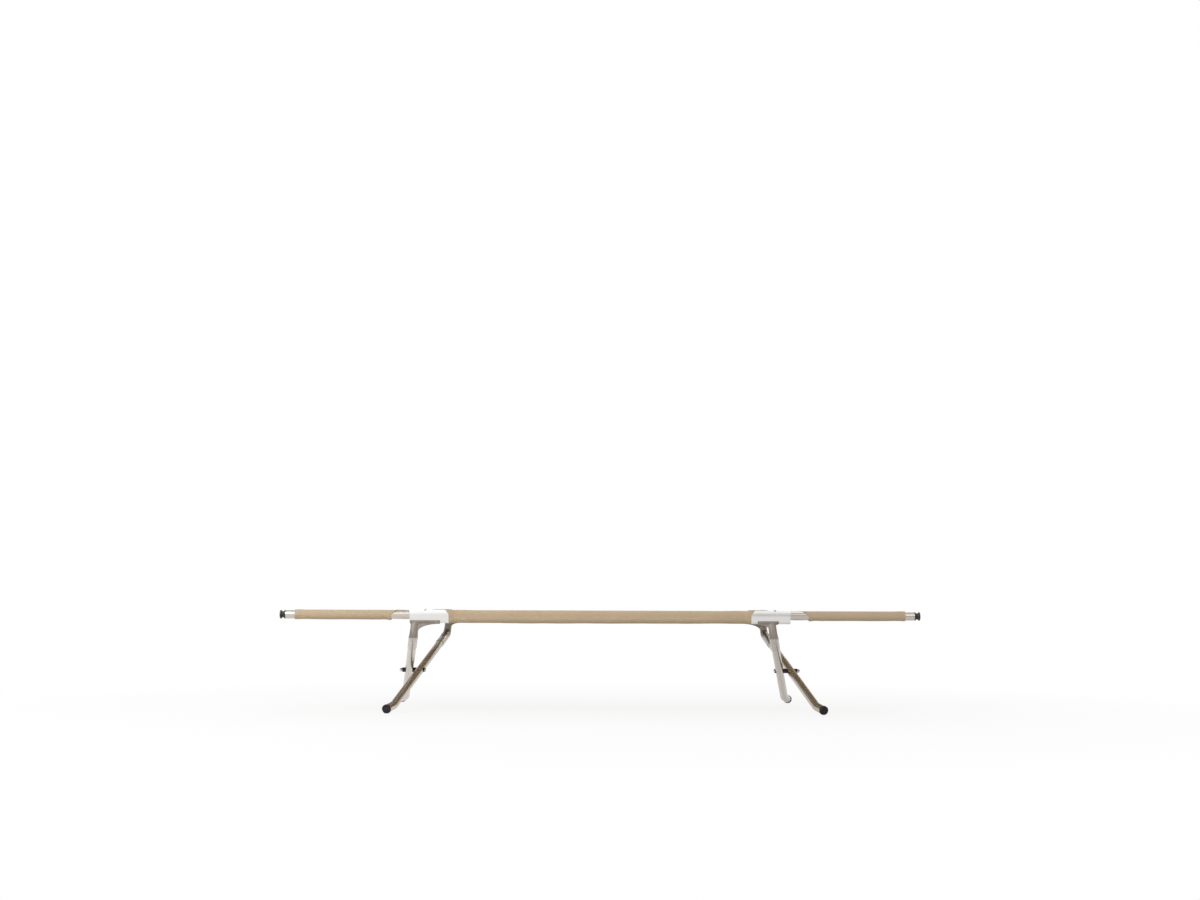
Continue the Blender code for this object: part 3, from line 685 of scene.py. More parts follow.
def bracket_outline():
    """Bowed sides, a flat top and an elliptic underside."""
    steps = 16
    right = []
    for index in range(steps + 1):
        z = NOTCH_Z + (BRACKET_TOP - NOTCH_Z) * index / steps
        right.append((bracket_side(z), z))
    under = underside(bracket_side(NOTCH_Z), NOTCH_Z, BRACKET_BOTTOM, 2 * steps)
    return right + [(-y, z) for y, z in reversed(right)] + under[1:-1]


def bracket_model(head):
    """Channel bracket: a closed sleeve on the rail, open on top past the hinge."""
    spare = 0.002
    body = bar_along_x("bracket", bracket_outline(), BRACKET_START, BRACKET_END)
    pin = at_rail(HINGE_X, 0, PIN_LIFT)
    ear = bracket_side(PIN_LIFT - KNUCKLE_RADIUS)
    join_on(body, rod(pin, Y_WAY, -ear, ear, KNUCKLE_RADIUS))
    high = PIN_LIFT + KNUCKLE_RADIUS + spare
    wide = BRACKET_HALF_WIDTH + spare
    low = BRACKET_BOTTOM - spare
    channel = [(-BORE_RADIUS, 0), (BORE_RADIUS, 0), (BORE_RADIUS, high), (-BORE_RADIUS, high)]
    notch = [(-wide, low), (wide, low), (wide, NOTCH_Z), (-wide, NOTCH_Z)]
    root_in, root_out = head["root"]
    root_out += GAP
    if root_out > OPEN_NOTCH:
        root_out = min(root_out, BRACKET_END - HINGE_X + spare)
    notch_end = HINGE_X + root_out + spare * (root_out > OPEN_NOTCH)
    cut(body,
        bar_along_x("bore", obround(BORE_RADIUS, SECTION_DROP),
                    BRACKET_START - spare, BRACKET_END + spare),
        bar_along_x("channel", channel, CHANNEL_START, BRACKET_END + spare),
        bar_along_x("notch", notch, HINGE_X + root_in - GAP, notch_end),
        rod(pin, Y_WAY, -wide, wide, PIN_RADIUS + GAP / 3))
    return soften(body, 0.00035, 32.0)


def rivet_model():
    """Domed rivet on the bracket's inner side."""
    seat = BRACKET_HALF_WIDTH + GAP / 3
    head = arc((0, 0), 1.0, 0, 80, 8)
    stations = [(INNER_RADIUS, 0.0020), (seat, 0.0020), (seat, 0.0038), (seat + 0.0002, 0.0040)]
    stations += [(seat + 0.0002 + 0.0015 * rise, 0.0040 * share) for share, rise in head[1:]]
    place = at_rail(BRACKET_START + 0.030, 0, -SECTION_DROP / 2)
    return soften(turned("rivet", place, Y_WAY, stations, 40), 0)


def pin_model():
    """Hinge pin with a low head at both ends."""
    seat = bracket_side(PIN_LIFT - KNUCKLE_RADIUS) + GAP / 3
    tip = seat + 0.0011
    head = [(seat, PIN_RADIUS), (seat, 0.0025), (seat + 0.0002, 0.0026), (tip - 0.0004, 0.0026),
            (tip - 0.0001, 0.0023), (tip, 0.0018), (tip, 0.0010), (tip - 0.0003, 0.0006)]
    stations = [(-along, radius) for along, radius in reversed(head)] + head
    return soften(turned("pin", at_rail(HINGE_X, 0, PIN_LIFT), Y_WAY, stations, 36), 0)


def tidy_copy(node, name, bevel):
    """Copy of a frame node with its triangles merged into faces and its edges rounded."""
    piece = duplicate(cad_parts[node], name)
    piece.parent = None
    for key in [key for key in piece.keys() if key.startswith("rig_")]:
        del piece[key]
    edit(piece)
    bpy.ops.mesh.remove_doubles(threshold=2e-6)
    bpy.ops.mesh.dissolve_limited(angle_limit=math.radians(0.5))
    return soften(piece, bevel, 30.0)


class COT_OT_rails(bpy.types.Operator):
    """Models the middle rails and the bare end tubes"""

    bl_idname = "cot.rails"
    bl_label = "Rails"

    def execute(self, context):
        for rail in ("front", "back"):
            node = f"{rail}_middle_rail"
            finished(tidy_copy(node, f"cot_{node}", 0), f"{rail}_frame", "tube", tube_metal(), node)
        lip = 0.0004
        stations = [(END_RAIL_START, INNER_RADIUS), (END_RAIL_START, TUBE_RADIUS - lip),
                    (END_RAIL_START + lip, TUBE_RADIUS), (END_RAIL_END - lip, TUBE_RADIUS),
                    (END_RAIL_END, TUBE_RADIUS - lip), (END_RAIL_END, INNER_RADIUS),
                    (END_RAIL_START, INNER_RADIUS)]
        tube = turned("end_rail", at_rail(0, 0, 0), X_WAY, stations, 64, ring=True)
        at_corners(soften(tube, 0), "end_rail", ALL_CORNERS, "tube", tube_metal(), folding=True)
        return {"FINISHED"}


class COT_OT_brackets(bpy.types.Operator):
    """Models the channel brackets with their rivets and hinge pins"""

    bl_idname = "cot.brackets"
    bl_label = "Brackets"

    def execute(self, context):
        for kind, corners in KINDS:
            model = bracket_model(HEADS[kind])
            at_corners(model, "bracket", corners, "bracket", bracket_metal())
        at_corners(rivet_model(), "rivet", ALL_CORNERS, "steel", plain_steel())
        at_corners(pin_model(), "hinge_pin", ALL_CORNERS, "steel", plain_steel())
        return {"FINISHED"}


class COT_OT_plugs(bpy.types.Operator):
    """Finishes the blocks that fold out of the brackets"""

    bl_idname = "cot.plugs"
    bl_label = "Hinge plugs"

    def execute(self, context):
        model = tidy_copy("front_right_hinge_plug", "hinge_plug", 0.0002)
        at_corners(model, "hinge_plug", ALL_CORNERS, "cast", cast_metal(), folding=True)
        return {"FINISHED"}


class COT_OT_end_caps(bpy.types.Operator):
    """Models the spool-shaped caps on the rails' ends"""

    bl_idname = "cot.end_caps"
    bl_label = "End caps"

    def execute(self, context):
        seat = END_RAIL_END + GAP / 2
        rim = 0.0034
        crown = 0.0017
        waist_depth = 0.00285
        waist_start = seat + rim
        waist_end = COT_END - crown - rim
        middle = (waist_start + waist_end) / 2
        half = (waist_end - waist_start) / 2
        edge = 0.0005
        stations = [(seat - 0.018, 0.0100), (seat - 0.0172, 0.0110), (seat, 0.0110),
                    (seat, TUBE_RADIUS - edge), (seat + edge, TUBE_RADIUS),
                    (waist_start - edge, TUBE_RADIUS), (waist_start, TUBE_RADIUS - edge)]
        for along, depth in arc((0, 0), 1.0, 180, 0, 18)[1:-1]:
            stations.append((middle + half * along, TUBE_RADIUS - edge - waist_depth * depth))
        stations += [(waist_end, TUBE_RADIUS - edge), (waist_end + edge, TUBE_RADIUS)]
        for rise, out in arc((0, 0), 1.0, 0, 90, 8):
            stations.append((COT_END - crown * (1 - out), 0.0075 + 0.0050 * rise))
        stations += [(COT_END, 0.0062), (COT_END - 0.0004, 0.0057), (COT_END - 0.0004, 0.0010)]
        cap = turned("end_cap", at_rail(0, 0, 0), X_WAY, stations, 64)
        at_corners(soften(cap, 0), "end_cap", ALL_CORNERS, "black_plastic", black_plastic(),
                   folding=True)
        return {"FINISHED"}


def leg_line(head):
    """Elbow, bend and foot end of a leg's middle line."""
    elbow = at_rail(HINGE_X + head["elbow"], 0, -NECK_DROP)
    level = math.cos(FOOT_PITCH)
    foot = Vector((elbow.x + head["splay"], -RAIL_Y, FOOT_CAP_RADIUS * level - FOOT_SOLE))
    heading = Vector((math.sin(FOOT_YAW) * level, math.cos(FOOT_YAW) * level,
                      -math.sin(FOOT_PITCH)))
    return elbow, foot - heading * FOOT_RUN, foot


def leg_head_model(head):
    """Casting: cradle under the rail, curved web, neck and the sloping socket for the leg."""
    elbow, bend, _ = leg_line(head)
    way = (bend - elbow).normalized()
    root_in, root_out = (HINGE_X + place for place in head["root"])
    neck = HINGE_X + head["neck"]
    top = at_rail(neck, 0, -(SECTION_DROP + TUBE_RADIUS))
    mouth = elbow + way * SOCKET_LENGTH
    steps = 10
    path = rounded_path((top, elbow, mouth - way * 0.010), ELBOW_BEND, steps)
    widening = SOCKET_RADIUS - NECK_RADIUS
    radii = [NECK_RADIUS, NECK_RADIUS]
    radii += [NECK_RADIUS + widening * index / steps for index in range(1, steps + 1)]
    radii.append(SOCKET_RADIUS)
    path += [mouth - way * 0.0085, mouth - way * 0.0015, mouth]
    radii += [SOCKET_RADIUS + 0.0002, SOCKET_RADIUS + 0.0002, SOCKET_RADIUS]
    body = bent_bar("leg_head", path, radii)
    seat = NOTCH_Z - GAP
    cradle = underside(bracket_side(seat) - 0.0003, seat, -0.0263, 24)
    web_start = root_in + 0.0025
    inner_face = neck - 0.7 * NECK_RADIUS
    web_top = -0.0243
    web = [(neck, web_top), (web_start, web_top)]
    for index in range(17):
        angle = math.pi / 2 * index / 16
        x = web_start + (inner_face - web_start) * math.sin(angle)
        web.append((x, -head["web"] + (head["web"] + web_top - 0.0025) * math.cos(angle)))
    web.append((neck, -head["web"]))
    web_half = 0.0072
    rib = prism("web", [at_rail(x, -web_half, z) for x, z in web], (0, 2 * web_half, 0))
    saddle = bar_along_x("cradle", cradle, root_in + GAP, root_out - GAP)
    join_on(body, saddle, rib)
    modify(body, "REMESH", mode="VOXEL", voxel_size=0.0009)
    modify(body, "SMOOTH", factor=0.5, iterations=7)
    flat_cut = [(-0.03, seat), (0.03, seat), (0.03, seat + 0.02), (-0.03, seat + 0.02)]
    cut(body,
        bar_along_x("bore", obround(BORE_RADIUS, SECTION_DROP, 32),
                    root_in - 0.01, root_out + 0.01),
        bar_along_x("flat", flat_cut, root_in - 0.01, root_out + 0.01),
        rod(elbow, way, SOCKET_FLOOR, SOCKET_LENGTH + 0.002, BORE_RADIUS))
    return soften(body, 0, 40.0)


def leg_model(head):
    """Leg tube, bent near its foot and bored for its cap."""
    elbow, bend, foot = leg_line(head)
    way = (bend - elbow).normalized()
    heading = (foot - bend).normalized()
    start = elbow + way * (SOCKET_FLOOR + GAP)
    path = rounded_path((start, bend, foot - heading * 0.0043), FOOT_BEND, 14)
    tube = bent_bar("leg", path, [TUBE_RADIUS] * len(path))
    cut(tube, rod(foot, -heading, 0.0, 0.030, INNER_RADIUS, BAR_SIDES))
    return soften(tube, 0, 50.0)


def foot_cap_model(head):
    """Rubber cap with a stem in the leg and a ring sunk in its end, flat on the floor."""
    _, bend, foot = leg_line(head)
    heading = (foot - bend).normalized()
    skin = FOOT_CAP_RADIUS
    stem = INNER_RADIUS - 2 * GAP
    stations = [(-0.0220, stem - 0.0008), (-0.0212, stem), (-0.0040, stem), (-0.0040, BORE_RADIUS),
                (-FOOT_CAP_LENGTH, BORE_RADIUS), (-FOOT_CAP_LENGTH, skin - 0.0003),
                (-FOOT_CAP_LENGTH + 0.0003, skin)]
    for rise, out in arc((0, 0), 1.0, 90, 0, 6):
        stations.append((-0.0016 * (1 - rise), skin - 0.0016 * (1 - out)))
    stations += [(0.0, 0.0098), (-0.0003, 0.0094), (-0.0013, 0.0090), (-0.0013, 0.0060),
                 (-0.0003, 0.0056), (0.0, 0.0052), (0.0, 0.0020), (-0.0006, 0.0012)]
    cap = turned("foot_cap", foot, heading, stations, 64)
    edit(cap)
    bpy.ops.mesh.bisect(plane_co=(0, 0, 0.00002), plane_no=(0, 0, 1), use_fill=True,
                        clear_inner=True)
    return soften(face_outwards(cap), 0, 35.0)


class COT_OT_legs(bpy.types.Operator):
    """Models the cast leg heads, the legs and their rubber feet"""

    bl_idname = "cot.legs"
    bl_label = "Legs"

    def execute(self, context):
        for kind, corners in KINDS:
            head = HEADS[kind]
            at_corners(leg_head_model(head), "leg_head", corners, "cast", cast_metal())
            at_corners(leg_model(head), "leg", corners, "tube", leg_metal())
            at_corners(foot_cap_model(head), "foot_cap", corners, "rubber", black_rubber())
        return {"FINISHED"}


def crossing(head):
    """Where a leg's middle line passes below the middle of the bed."""
    elbow, bend, _ = leg_line(head)
    return elbow.lerp(bend, -elbow.y / (bend.y - elbow.y))


class COT_OT_pivots(bpy.types.Operator):
    """Models the bolts, nuts and saddle washers where the legs cross"""

    bl_idname = "cot.pivots"
    bl_label = "Pivots"

    def execute(self, context):
        for kind, corners in KINDS:
            self.washers(kind, corners)
        self.bolts()
        return {"FINISHED"}

    def washers(self, kind, corners):
        """Washers hollowed to the leg that they lie against."""
        centre = crossing(HEADS[kind])
        elbow, bend, _ = leg_line(HEADS[kind])
        axis = Vector((0, 0, centre.z))
        for part in ("inner_washer", "outer_washer"):
            places = sorted(abs(place) for place in reach_x(f"{corners[0]}_{part}"))
            far = places[0] if part == "inner_washer" else places[1]
            edge = 0.0005 if part == "outer_washer" else -0.0005
            stations = [(centre.x, 0.0033), (centre.x, 0.0072), (far - edge, 0.0072), (far, 0.0067),
                        (far, 0.0033), (centre.x, 0.0033)]
            ring = turned("washer", axis, X_WAY, stations, 48, ring=True)
            cut(ring, rod(centre, (bend - elbow).normalized(), -0.02, 0.02, TUBE_RADIUS + GAP / 3))
            at_corners(soften(ring, 0, 35.0), part, corners, "black_plastic", black_plastic())

    def bolts(self):
        """Button-headed bolt with a hexagon socket, and the domed hexagon nut."""
        axis_z = crossing(HEADS["inner"]).z
        axis = Vector((0, 0, axis_z))
        head_face, tip = reach_x("right_pivot_bolt")
        seat = head_face + 0.0040
        stations = [(head_face, 0.0037)]
        stations += [(head_face + 0.0028 * (1 - rise), 0.0037 + 0.0025 * out)
                     for rise, out in arc((0, 0), 1.0, 0, 90, 8)[1:]]
        stations += [(seat - 0.0002, 0.0062), (seat, 0.0060), (seat, 0.0030), (tip, 0.0030)]
        bolt = turned("bolt", axis, X_WAY, stations, 48)
        cut(bolt, rod(axis, X_WAY, head_face - 0.001, head_face + 0.0020, 0.0020, 6))
        nut_start, nut_end = reach_x("right_pivot_nut")
        hexagon = rod(axis, X_WAY, nut_start, nut_start + 0.0042, 0.0062, 6)
        stations = [(nut_start - 0.001, 0.0058), (nut_start, 0.0058), (nut_start + 0.0035, 0.0064),
                    (nut_start + 0.0043, 0.0056), (nut_start + 0.006, 0.0050)]
        chamfer = turned("chamfer", axis, X_WAY, stations, 48)
        with_tools(hexagon, (chamfer,), "INTERSECT")
        dome = [(nut_start + 0.0030, 0.0051)]
        dome += [(nut_start + 0.0042 + (nut_end - nut_start - 0.0042) * rise, 0.0051 * share)
                 for share, rise in arc((0, 0), 1.0, 0, 84, 10)]
        join_on(hexagon, turned("dome", axis, X_WAY, dome, 48))
        cut(hexagon, rod(axis, X_WAY, nut_start - 0.002, tip + GAP, 0.0033))
        for model, part in ((face_outwards(bolt), "bolt"), (face_outwards(hexagon), "nut")):
            soften(model, 0)
            for side in ("left", "right"):
                piece = copied(model, f"cot_{side}_pivot_{part}", side == "left", False)
                finished(piece, "front_frame", "steel", plain_steel(), f"{side}_pivot_{part}")
            bpy.data.objects.remove(model)


# Cloth

def ease(value, low, high):
    """Smooth step from 0 at low to 1 at high."""
    share = min(max((value - low) / (high - low), 0.0), 1.0)
    return share * share * (3 - 2 * share)


def cloth_sheet(name, shape, across, along, width, length):
    """Grid of faces laid at shape(u, v), made thick, with its UV map in metres."""
    deselect()
    bpy.ops.mesh.primitive_grid_add(x_subdivisions=along, y_subdivisions=across, size=1)
    piece = made(name)
    spots = piece.data.uv_layers.active.data
    for loop in piece.data.loops:
        piece.data.vertices[loop.vertex_index].co = shape(*spots[loop.index].uv)
    for spot in spots:
        spot.uv = (spot.uv[0] * length, spot.uv[1] * width)
    modify(piece, "SOLIDIFY", thickness=sizes().cloth, offset=0.0, use_even_offset=True)
    return soften(face_outwards(piece), 0, 50.0)


def sleeve_section(drop):
    """Middle of a sleeve's cloth in (y, z): over the rail, round it and out to the flange."""
    radius = BORE_RADIUS + 0.0009
    flange_z = PANEL_Z - 0.0011
    line = [(SEAM_FROM_RAIL, PANEL_Z + 0.0004), (SEAM_FROM_RAIL / 2, radius)]
    line += arc((0, 0), radius, 90, 180, 16)
    line += arc((0, -drop), radius, 180, 360, 32)[0 if drop else 1:]
    if drop:
        line.append((radius, 0.0))
    ends = ((radius, 0.0), (radius, 0.0091),
            (radius + 0.0006, flange_z), (radius + 0.008, flange_z))
    steps = 8
    for index in range(1, steps + 1):
        t = index / steps
        weights = ((1 - t) ** 3, 3 * t * (1 - t) ** 2, 3 * t * t * (1 - t), t ** 3)
        line.append(tuple(sum(w * p[axis] for w, p in zip(weights, ends)) for axis in (0, 1)))
    return line + [(FLANGE, flange_z)]


class Section:
    """Open polyline that is read by its share of the length, with its outward normal."""

    def __init__(self, points):
        self.points = [Vector(point) for point in points]
        self.runs = [0.0]
        for before, after in zip(self.points, self.points[1:]):
            self.runs.append(self.runs[-1] + (after - before).length)
        self.length = self.runs[-1]

    def at(self, share):
        """Point and normal at a share of the length."""
        distance = min(max(share, 0.0), 1.0) * self.length
        index = 1
        while index < len(self.runs) - 1 and self.runs[index] < distance:
            index += 1
        before, after = self.points[index - 1], self.points[index]
        part = (distance - self.runs[index - 1]) / (self.runs[index] - self.runs[index - 1])
        way = (after - before).normalized()
        return before.lerp(after, part), Vector((way.y, -way.x))


def around_bracket(point):
    """Point on the same ray from the section's middle, moved to lie on the bracket's skin."""
    middle = Vector((0.0, -SECTION_DROP / 2))
    way = (point - middle).normalized()
    clear = sizes().cloth / 2 + CLOTH_CLEARANCE
    low, high = 0.010, 0.034
    for _ in range(24):
        reach = (low + high) / 2
        y, z = middle + way * reach
        if z >= NOTCH_Z:
            inside = abs(y) < bracket_side(z) + clear and z < BRACKET_TOP + clear
        else:
            half = bracket_side(NOTCH_Z) + clear
            deep = NOTCH_Z - BRACKET_BOTTOM + clear
            inside = (y / half) ** 2 + ((z - NOTCH_Z) / deep) ** 2 < 1
        if inside:
            low = reach
        else:
            high = reach
    return middle + way * low


def window_reach(y, z):
    """How far the cloth at a window's end draws in over the rail: most on top, least in front."""
    top = ease(z, -0.003, 0.0135)
    back = ease(y, -0.004, 0.010) * (z > 0.0)
    return 0.0015 + 0.0145 * top ** 1.5 + 0.008 * back


def bell(value, centre, width):
    """Smooth bump of height 1."""
    return math.exp(-((value - centre) / width) ** 2)


def folds(x, s, seed):
    """Soft wrinkles from noise, round 0."""
    broad = noise.noise(Vector((x * 14.0, s * 45.0, seed)))
    return broad + 0.4 * noise.noise(Vector((x * 41.0, s * 90.0, seed)))


def sleeve_model(drop, start, end, seed):
    """Strip of cloth wrapped round a rail; its window ends are cut on a curve."""
    section = Section(sleeve_section(drop))
    middle = drop > 0
    span = end - start
    depth = sizes().wrinkle

    def shape(u, v):
        point, normal = section.at(v)
        inner = point.x > 0.006 and point.y < 0.0125
        reach = 0.0 if inner else window_reach(point.x, point.y)
        low = start - reach
        high = end + reach * middle
        x = low + (high - low) * u
        hem = 1.0 - ease(min(x - low, high - x), 0.007, 0.010)
        under = ease(-point.y, -0.002, drop + 0.010) * (point.x < 0.012)
        bow = 1.0 - abs(2 * u - 1) ** 3
        loose = 0.35 + 0.65 * under
        out = depth * loose * folds(x, v * section.length, seed)
        out *= ease(min(x - low, high - x), 0.0, 0.03)
        tuck = bell(abs(x), 0.39, 0.018) * ease(point.y, 0.004, 0.012) * middle
        flare = bell(abs(x), END_SLEEVE_START, 0.010) * under * (not middle)
        out += ((0.0013 if middle else 0.0004) * under * bow + 0.00035 * hem + 0.0004 * tuck
                + 0.0014 * flare)
        moved = point + normal * max(out, -0.0003)
        grip = ease(abs(x), 0.431, 0.4455)
        if middle and not inner and grip > 0.0:
            moved = moved.lerp(around_bracket(moved), grip)
        return at_rail(x, moved.x, moved.y)

    sleeve = cloth_sheet("sleeve", shape, 76, int(span / 0.0065), section.length, span)
    return sleeve, section.length


def half_width(x):
    """Panel's half width: full beside the sleeves, drawn in on a curve beside the windows."""
    x = abs(x)
    inner_corner, inner_tip = MIDDLE_SLEEVE_END + 0.022, 0.497
    outer_tip, outer_corner = 0.580, END_SLEEVE_START - 0.022
    if x <= inner_corner or x >= outer_corner:
        return PANEL_EDGE
    if inner_tip <= x <= outer_tip:
        return WINDOW_EDGE
    if x < inner_tip:
        share = (x - inner_corner) / (inner_tip - inner_corner)
    else:
        share = (outer_corner - x) / (outer_corner - outer_tip)
    return WINDOW_EDGE + (PANEL_EDGE - WINDOW_EDGE) * math.sqrt(max(1 - share ** 1.6, 0.0))


def relief(x, y):
    """Height of the bed's middle surface above the rails' axis."""
    ax, ay = abs(x), abs(y)
    taut = max(0.0, 1 - (ay / PANEL_EDGE) ** 2)
    crease = bell(ax, FOLD_X, 0.006)
    sag = sizes().sag * taut * (0.75 + 0.25 * math.cos(math.pi * x / BED_HALF_LENGTH))
    pull = bell(ax, 0.53, 0.10) * bell(ay, PANEL_EDGE, 0.07)
    tension = noise.noise(Vector((x * 55.0 + y * 16.0, y * 5.0, 3.0))) * 0.0006 * pull
    ripple = noise.noise(Vector((x * 9.0, y * 3.5, 7.0))) * 0.0012 * taut
    ripple += noise.noise(Vector((x * 26.0, y * 5.0, 11.0))) * 0.0005 * taut
    lift = 0.0027 * ease(ay, 0.286, 0.2935) * ease(ax, 0.436, 0.4460) * (1 - ease(ax, 0.500, 0.512))
    edge = 0.0005 * ease(ay, half_width(x) - 0.010, half_width(x) - 0.007)
    hem = 0.0006 * ease(ax, 0.884, 0.886)
    return PANEL_Z - sag + tension + ripple - 0.0009 * crease * taut ** 0.2 + lift + edge + hem


def panel_model(start, end, side, name):
    """Half of a bed panel between two places along X, from the bed's middle to one seam."""
    span = end - start

    def shape(u, v):
        x = start + span * u
        y = (v if side > 0 else v - 1) * half_width(x)
        return Vector((x, y, RAIL_HEIGHT + relief(x, y)))

    return cloth_sheet(name, shape, 52, int(span / 0.006), PANEL_EDGE, span)


def stitches(name, points):
    """Rows of stitches: one short thread is modelled, repeated, and each copy laid on its row."""
    stitch = sizes().stitch
    deselect()
    bpy.ops.mesh.primitive_cylinder_add(vertices=6, radius=THREAD_RADIUS, depth=stitch * 0.7,
                                        rotation=(0, math.pi / 2, 0), end_fill_type="NGON")
    piece = settle(made(name))
    bpy.ops.object.mode_set(mode="EDIT")
    for side in (-1, 1):
        bpy.ops.mesh.select_all(action="DESELECT")
        bpy.ops.object.mode_set(mode="OBJECT")
        for face in piece.data.polygons:
            face.select = face.normal.x * side > 0.9
        bpy.ops.object.mode_set(mode="EDIT")
        bpy.ops.mesh.extrude_region_move(
            TRANSFORM_OT_translate={"value": (side * stitch * 0.15, 0, -0.0003)})
        bpy.ops.transform.resize(value=(1, 0.5, 0.5),
                                 center_override=(side * stitch * 0.5, 0, -0.0003))
    bpy.ops.object.mode_set(mode="OBJECT")
    count = len(piece.data.vertices)
    modify(piece, "ARRAY", count=len(points), use_relative_offset=False, use_constant_offset=True,
           constant_offset_displace=(0, 0, 0))
    shape = [vertex.co.copy() for vertex in piece.data.vertices]
    for index, (place, way) in enumerate(points):
        for corner in range(index * count, (index + 1) * count):
            local = shape[corner]
            x = local.x * way.x - local.y * way.y
            y = local.x * way.y + local.y * way.x
            piece.data.vertices[corner].co = place + Vector((x, y, local.z))
    return soften(piece, 0, 60.0)


def spaced(start, end):
    """Middles of the stitches along a row."""
    pitch = sizes().pitch
    return [start + pitch * (index + 0.5) for index in range(int((end - start) / pitch))]


def on_bed(x, y, way):
    """Place of a stitch on top of the bed, with the way that it runs."""
    return Vector((x, y, RAIL_HEIGHT + relief(x, y) + sizes().cloth / 2)), way


def seam_points(start, end, row):
    """Places of the stitches along X, on both sides of the bed."""
    return [on_bed(x, side * min(row, half_width(x) - 0.003), X_WAY)
            for side in (-1, 1) for x in spaced(start, end)]


def cross_points(x, reach):
    """Places of the stitches across the bed."""
    return [on_bed(x, y, Y_WAY) for y in spaced(-reach, reach)]


class COT_OT_sleeves(bpy.types.Operator):
    """Models the six sleeves that hold the bed on its rails"""

    bl_idname = "cot.sleeves"
    bl_label = "Sleeves"

    def execute(self, context):
        model, width = sleeve_model(SECTION_DROP, -MIDDLE_SLEEVE_END, MIDDLE_SLEEVE_END, 1.3)
        for rail, turned_round in (("front", False), ("back", True)):
            piece = copied(model, f"cot_{rail}_middle_sleeve", False, turned_round)
            finished(piece, f"{rail}_frame", "cloth", cloth_weave(), f"{rail}_middle_sleeve")
        bpy.data.objects.remove(model)
        model, width = sleeve_model(0.0, END_SLEEVE_START, END_SLEEVE_END, 5.1)
        pieces = at_corners(model, "sleeve", ALL_CORNERS, "cloth", cloth_weave(), folding=True)
        return {"FINISHED"}


class COT_OT_bed(bpy.types.Operator):
    """Models the bed's panels, each in two halves, and their stitching"""

    bl_idname = "cot.bed"
    bl_label = "Bed"

    def execute(self, context):
        panels = (("bed_center", "middle", -FOLD_X + PANEL_GAP, FOLD_X - PANEL_GAP),
                  ("bed_left", "left", -END_SLEEVE_END, -FOLD_X - PANEL_GAP),
                  ("bed_right", "right", FOLD_X + PANEL_GAP, END_SLEEVE_END))
        for node, section, start, end in panels:
            # Works out how far each half would reach, folded, to the plane midway between the
            # frames with a little lap; nothing uses it
            height = RAIL_HEIGHT + relief((start + end) / 2, 0)
            meeting = (PIVOT_HEIGHT - height) * math.tan(FRAME_FOLD / 2) + FOLD_LAP
            keep = 1 - meeting / (RAIL_Y + SEAM_FROM_RAIL)
            points = []
            for row in SEAM_ROWS:
                points += seam_points(start + SEAM_INSET, end - SEAM_INSET, row)
            for fold in (start, end):
                inward = HEM_ROW if fold == start else -HEM_ROW
                if abs(fold) == END_SLEEVE_END:
                    for step in (1, 3):
                        points += cross_points(fold + inward * step, HEM_REACH)
                else:
                    points += cross_points(fold + inward, JOINT_REACH)
            for rail, side in (("front", -1), ("back", 1)):
                body = f"{rail}_frame" if section == "middle" else f"{rail}_{section}_end"
                name = f"cot_{node}_{rail}"
                panel = panel_model(start, end, side, name)
                piece = finished(panel, body, "cloth", cloth_weave(), node)
                own = [spot for spot in points if spot[0].y * side > 0]
                sewing = finished(stitches(f"{name}_stitching", own), body, "cloth", thread())
                for item in (piece, sewing):
                    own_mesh(item)
        return {"FINISHED"}


# Stage

def studio_floor():
    """White floor that keeps a faint shadow, and glows in the metal's reflections, brighter on the
    left: painted light.
    """
    look = Finish("studio_floor")
    look.shader.inputs["Base Color"].default_value = (0.72, 0.72, 0.72, 1.0)
    look.shader.inputs["Roughness"].default_value = 0.9
    where = look.place()
    distance = look.node("ShaderNodeVectorMath", {"operation": "LENGTH"}, {0: where}, "Value")
    far = look.ramp(distance, 0.8, 2.4)
    # Glossy rays see the floor glow, more on the left: painted light from the key's side in the
    # reflections.
    left = 1.0 - look.ramp(look.axes(where)[0], -0.7, 0.7)
    share = look.ray("Camera") * (0.87 + far * 0.13) + look.ray("Glossy") * (0.50 + left * 0.35)
    lit = Signal(look, look.shader.outputs[0])
    glow = look.node("ShaderNodeEmission", {}, {"Color": (1.0, 1.0, 1.0, 1.0)})
    mix = look.node("ShaderNodeMixShader", {}, {0: share, 1: lit, 2: glow})
    look.feed(look.tree.nodes["Material Output"].inputs["Surface"], mix)
    return look.material


def area_light(name, place, aim, size, power):
    """Soft square white lamp aimed at a point."""
    deselect()
    bpy.ops.object.light_add(type="AREA", location=place)
    lamp = made(name)
    lamp.data.shape = "SQUARE"
    lamp.data.size = size
    lamp.data.energy = power
    lamp.rotation_mode = "QUATERNION"
    lamp.rotation_quaternion = (Vector(aim) - Vector(place)).to_track_quat("-Z", "Y")
    return lamp


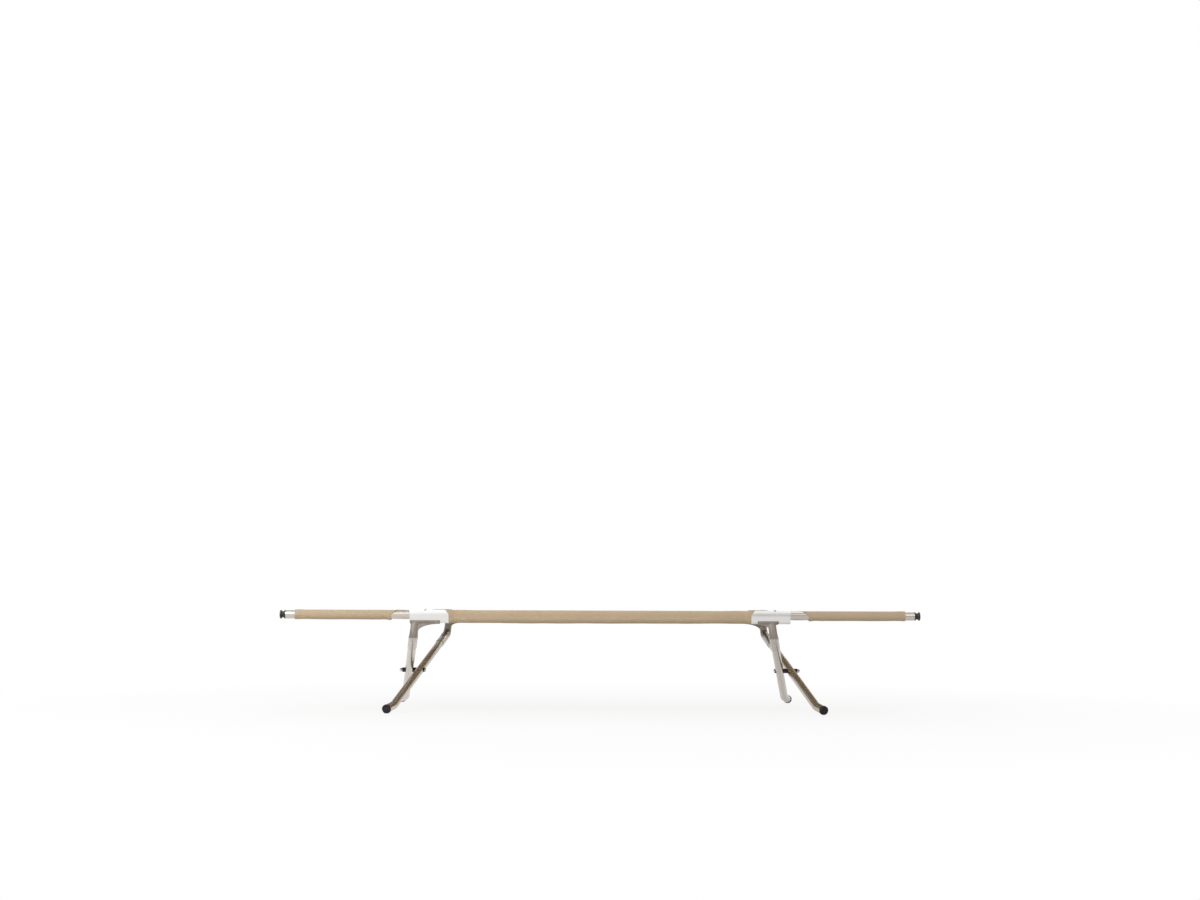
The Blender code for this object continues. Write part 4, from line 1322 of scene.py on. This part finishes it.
class COT_OT_stage(bpy.types.Operator):
    """Lays the floor, hangs the lamps and sets up the camera"""

    bl_idname = "cot.stage"
    bl_label = "Stage"

    def execute(self, context):
        deselect()
        bpy.ops.mesh.primitive_plane_add(size=60.0, location=(0, 0, -0.0003))
        floor = made("studio_floor")
        floor.data.materials.append(studio_floor())
        self.world(context.scene)
        area_light("key", (-2.1, -2.0, 2.1), (-0.5, 0, 0.2), 1.8, 55.0)
        area_light("fill", (2.4, -3.2, 2.2), (0.2, 0, 0.2), 2.0, 14.0)
        area_light("rim", (0.4, 2.8, 2.6), (0, 0, 0.2), 2.4, 40.0)
        self.camera(context.scene)
        context.scene.view_settings.view_transform = "Standard"
        return {"FINISHED"}

    def world(self, scene):
        """Even grey light, white behind the cot and in its metal, but for a dark patch in front."""
        world = bpy.data.worlds.new("studio")
        scene.world = world
        world.use_nodes = True
        look = Graph(world.node_tree)
        x_way, y_way, z_way = look.axes(look.node("ShaderNodeTexCoord"))
        level = 1.0 - look.ramp(look.maths("ABSOLUTE", z_way - 0.075), 0.13, 0.26)
        facing = look.ramp(y_way * -1.0, 0.5, 0.9)
        side = look.ramp(x_way, -0.14, 0.02)
        dark = level * facing * side
        front = look.ramp(y_way * -1.0, 0.2, 0.8) * (1.8 - side * 1.2)
        white = look.maths("MAXIMUM", look.ray("Camera"), look.ray("Transmission"))
        strength = 0.60 + white * 0.40 + look.ray("Glossy") * (0.18 + front * 0.26 - dark * 0.55)
        background = look.tree.nodes["Background"]
        background.inputs["Color"].default_value = (1.0, 1.0, 1.0, 1.0)
        look.feed(background.inputs["Strength"], strength)

    def camera(self, scene):
        """Long lens at the rails' height, tilted up so that the cot stands low in the frame."""
        focal_pixels = 1522.0
        picture_width = 1200.0
        sensor = 36.0
        tilt = math.radians(6.20)
        roll = math.radians(-0.19)
        deselect()
        bpy.ops.object.camera_add(location=(0.0, -4.857, 0.290))
        camera = made("photo_camera")
        camera.data.sensor_width = sensor
        camera.data.lens = focal_pixels * sensor / picture_width
        camera.data.clip_end = 200.0
        camera.rotation_euler = (math.pi / 2 + tilt, roll, 0.0)
        scene.camera = camera


class COT_PT_panel(bpy.types.Panel):
    """Sidebar panel that lists the cot's sizes, colours and pieces"""

    bl_idname = "COT_PT_panel"
    bl_label = "Camping cot"
    bl_space_type = "VIEW_3D"
    bl_region_type = "UI"
    bl_category = "Cot"

    def draw(self, context):
        for group in (context.scene.cot_sizes, context.scene.cot_colours):
            for key in group.__annotations__:
                self.layout.prop(group, key)
        for operator in OPERATORS:
            self.layout.operator(operator.bl_idname)


OPERATORS = (COT_OT_rails, COT_OT_brackets, COT_OT_plugs, COT_OT_end_caps, COT_OT_legs,
             COT_OT_pivots, COT_OT_sleeves, COT_OT_bed, COT_OT_stage)
CLASSES = (CotSizes, CotColours, *OPERATORS, COT_PT_panel)


def register():
    """Registers the classes and hangs the properties on the scene."""
    for item in CLASSES:
        bpy.utils.register_class(item)
    bpy.types.Scene.cot_sizes = PointerProperty(type=CotSizes)
    bpy.types.Scene.cot_colours = PointerProperty(type=CotColours)


def unregister():
    """Takes the properties and the classes away again."""
    del bpy.types.Scene.cot_colours
    del bpy.types.Scene.cot_sizes
    for item in reversed(CLASSES):
        bpy.utils.unregister_class(item)


def main():
    """Builds the cot and its stage."""
    register()
    for operator in OPERATORS:
        getattr(bpy.ops.cot, operator.bl_idname.split(".")[1])()


if __name__ == "__main__":
    main()
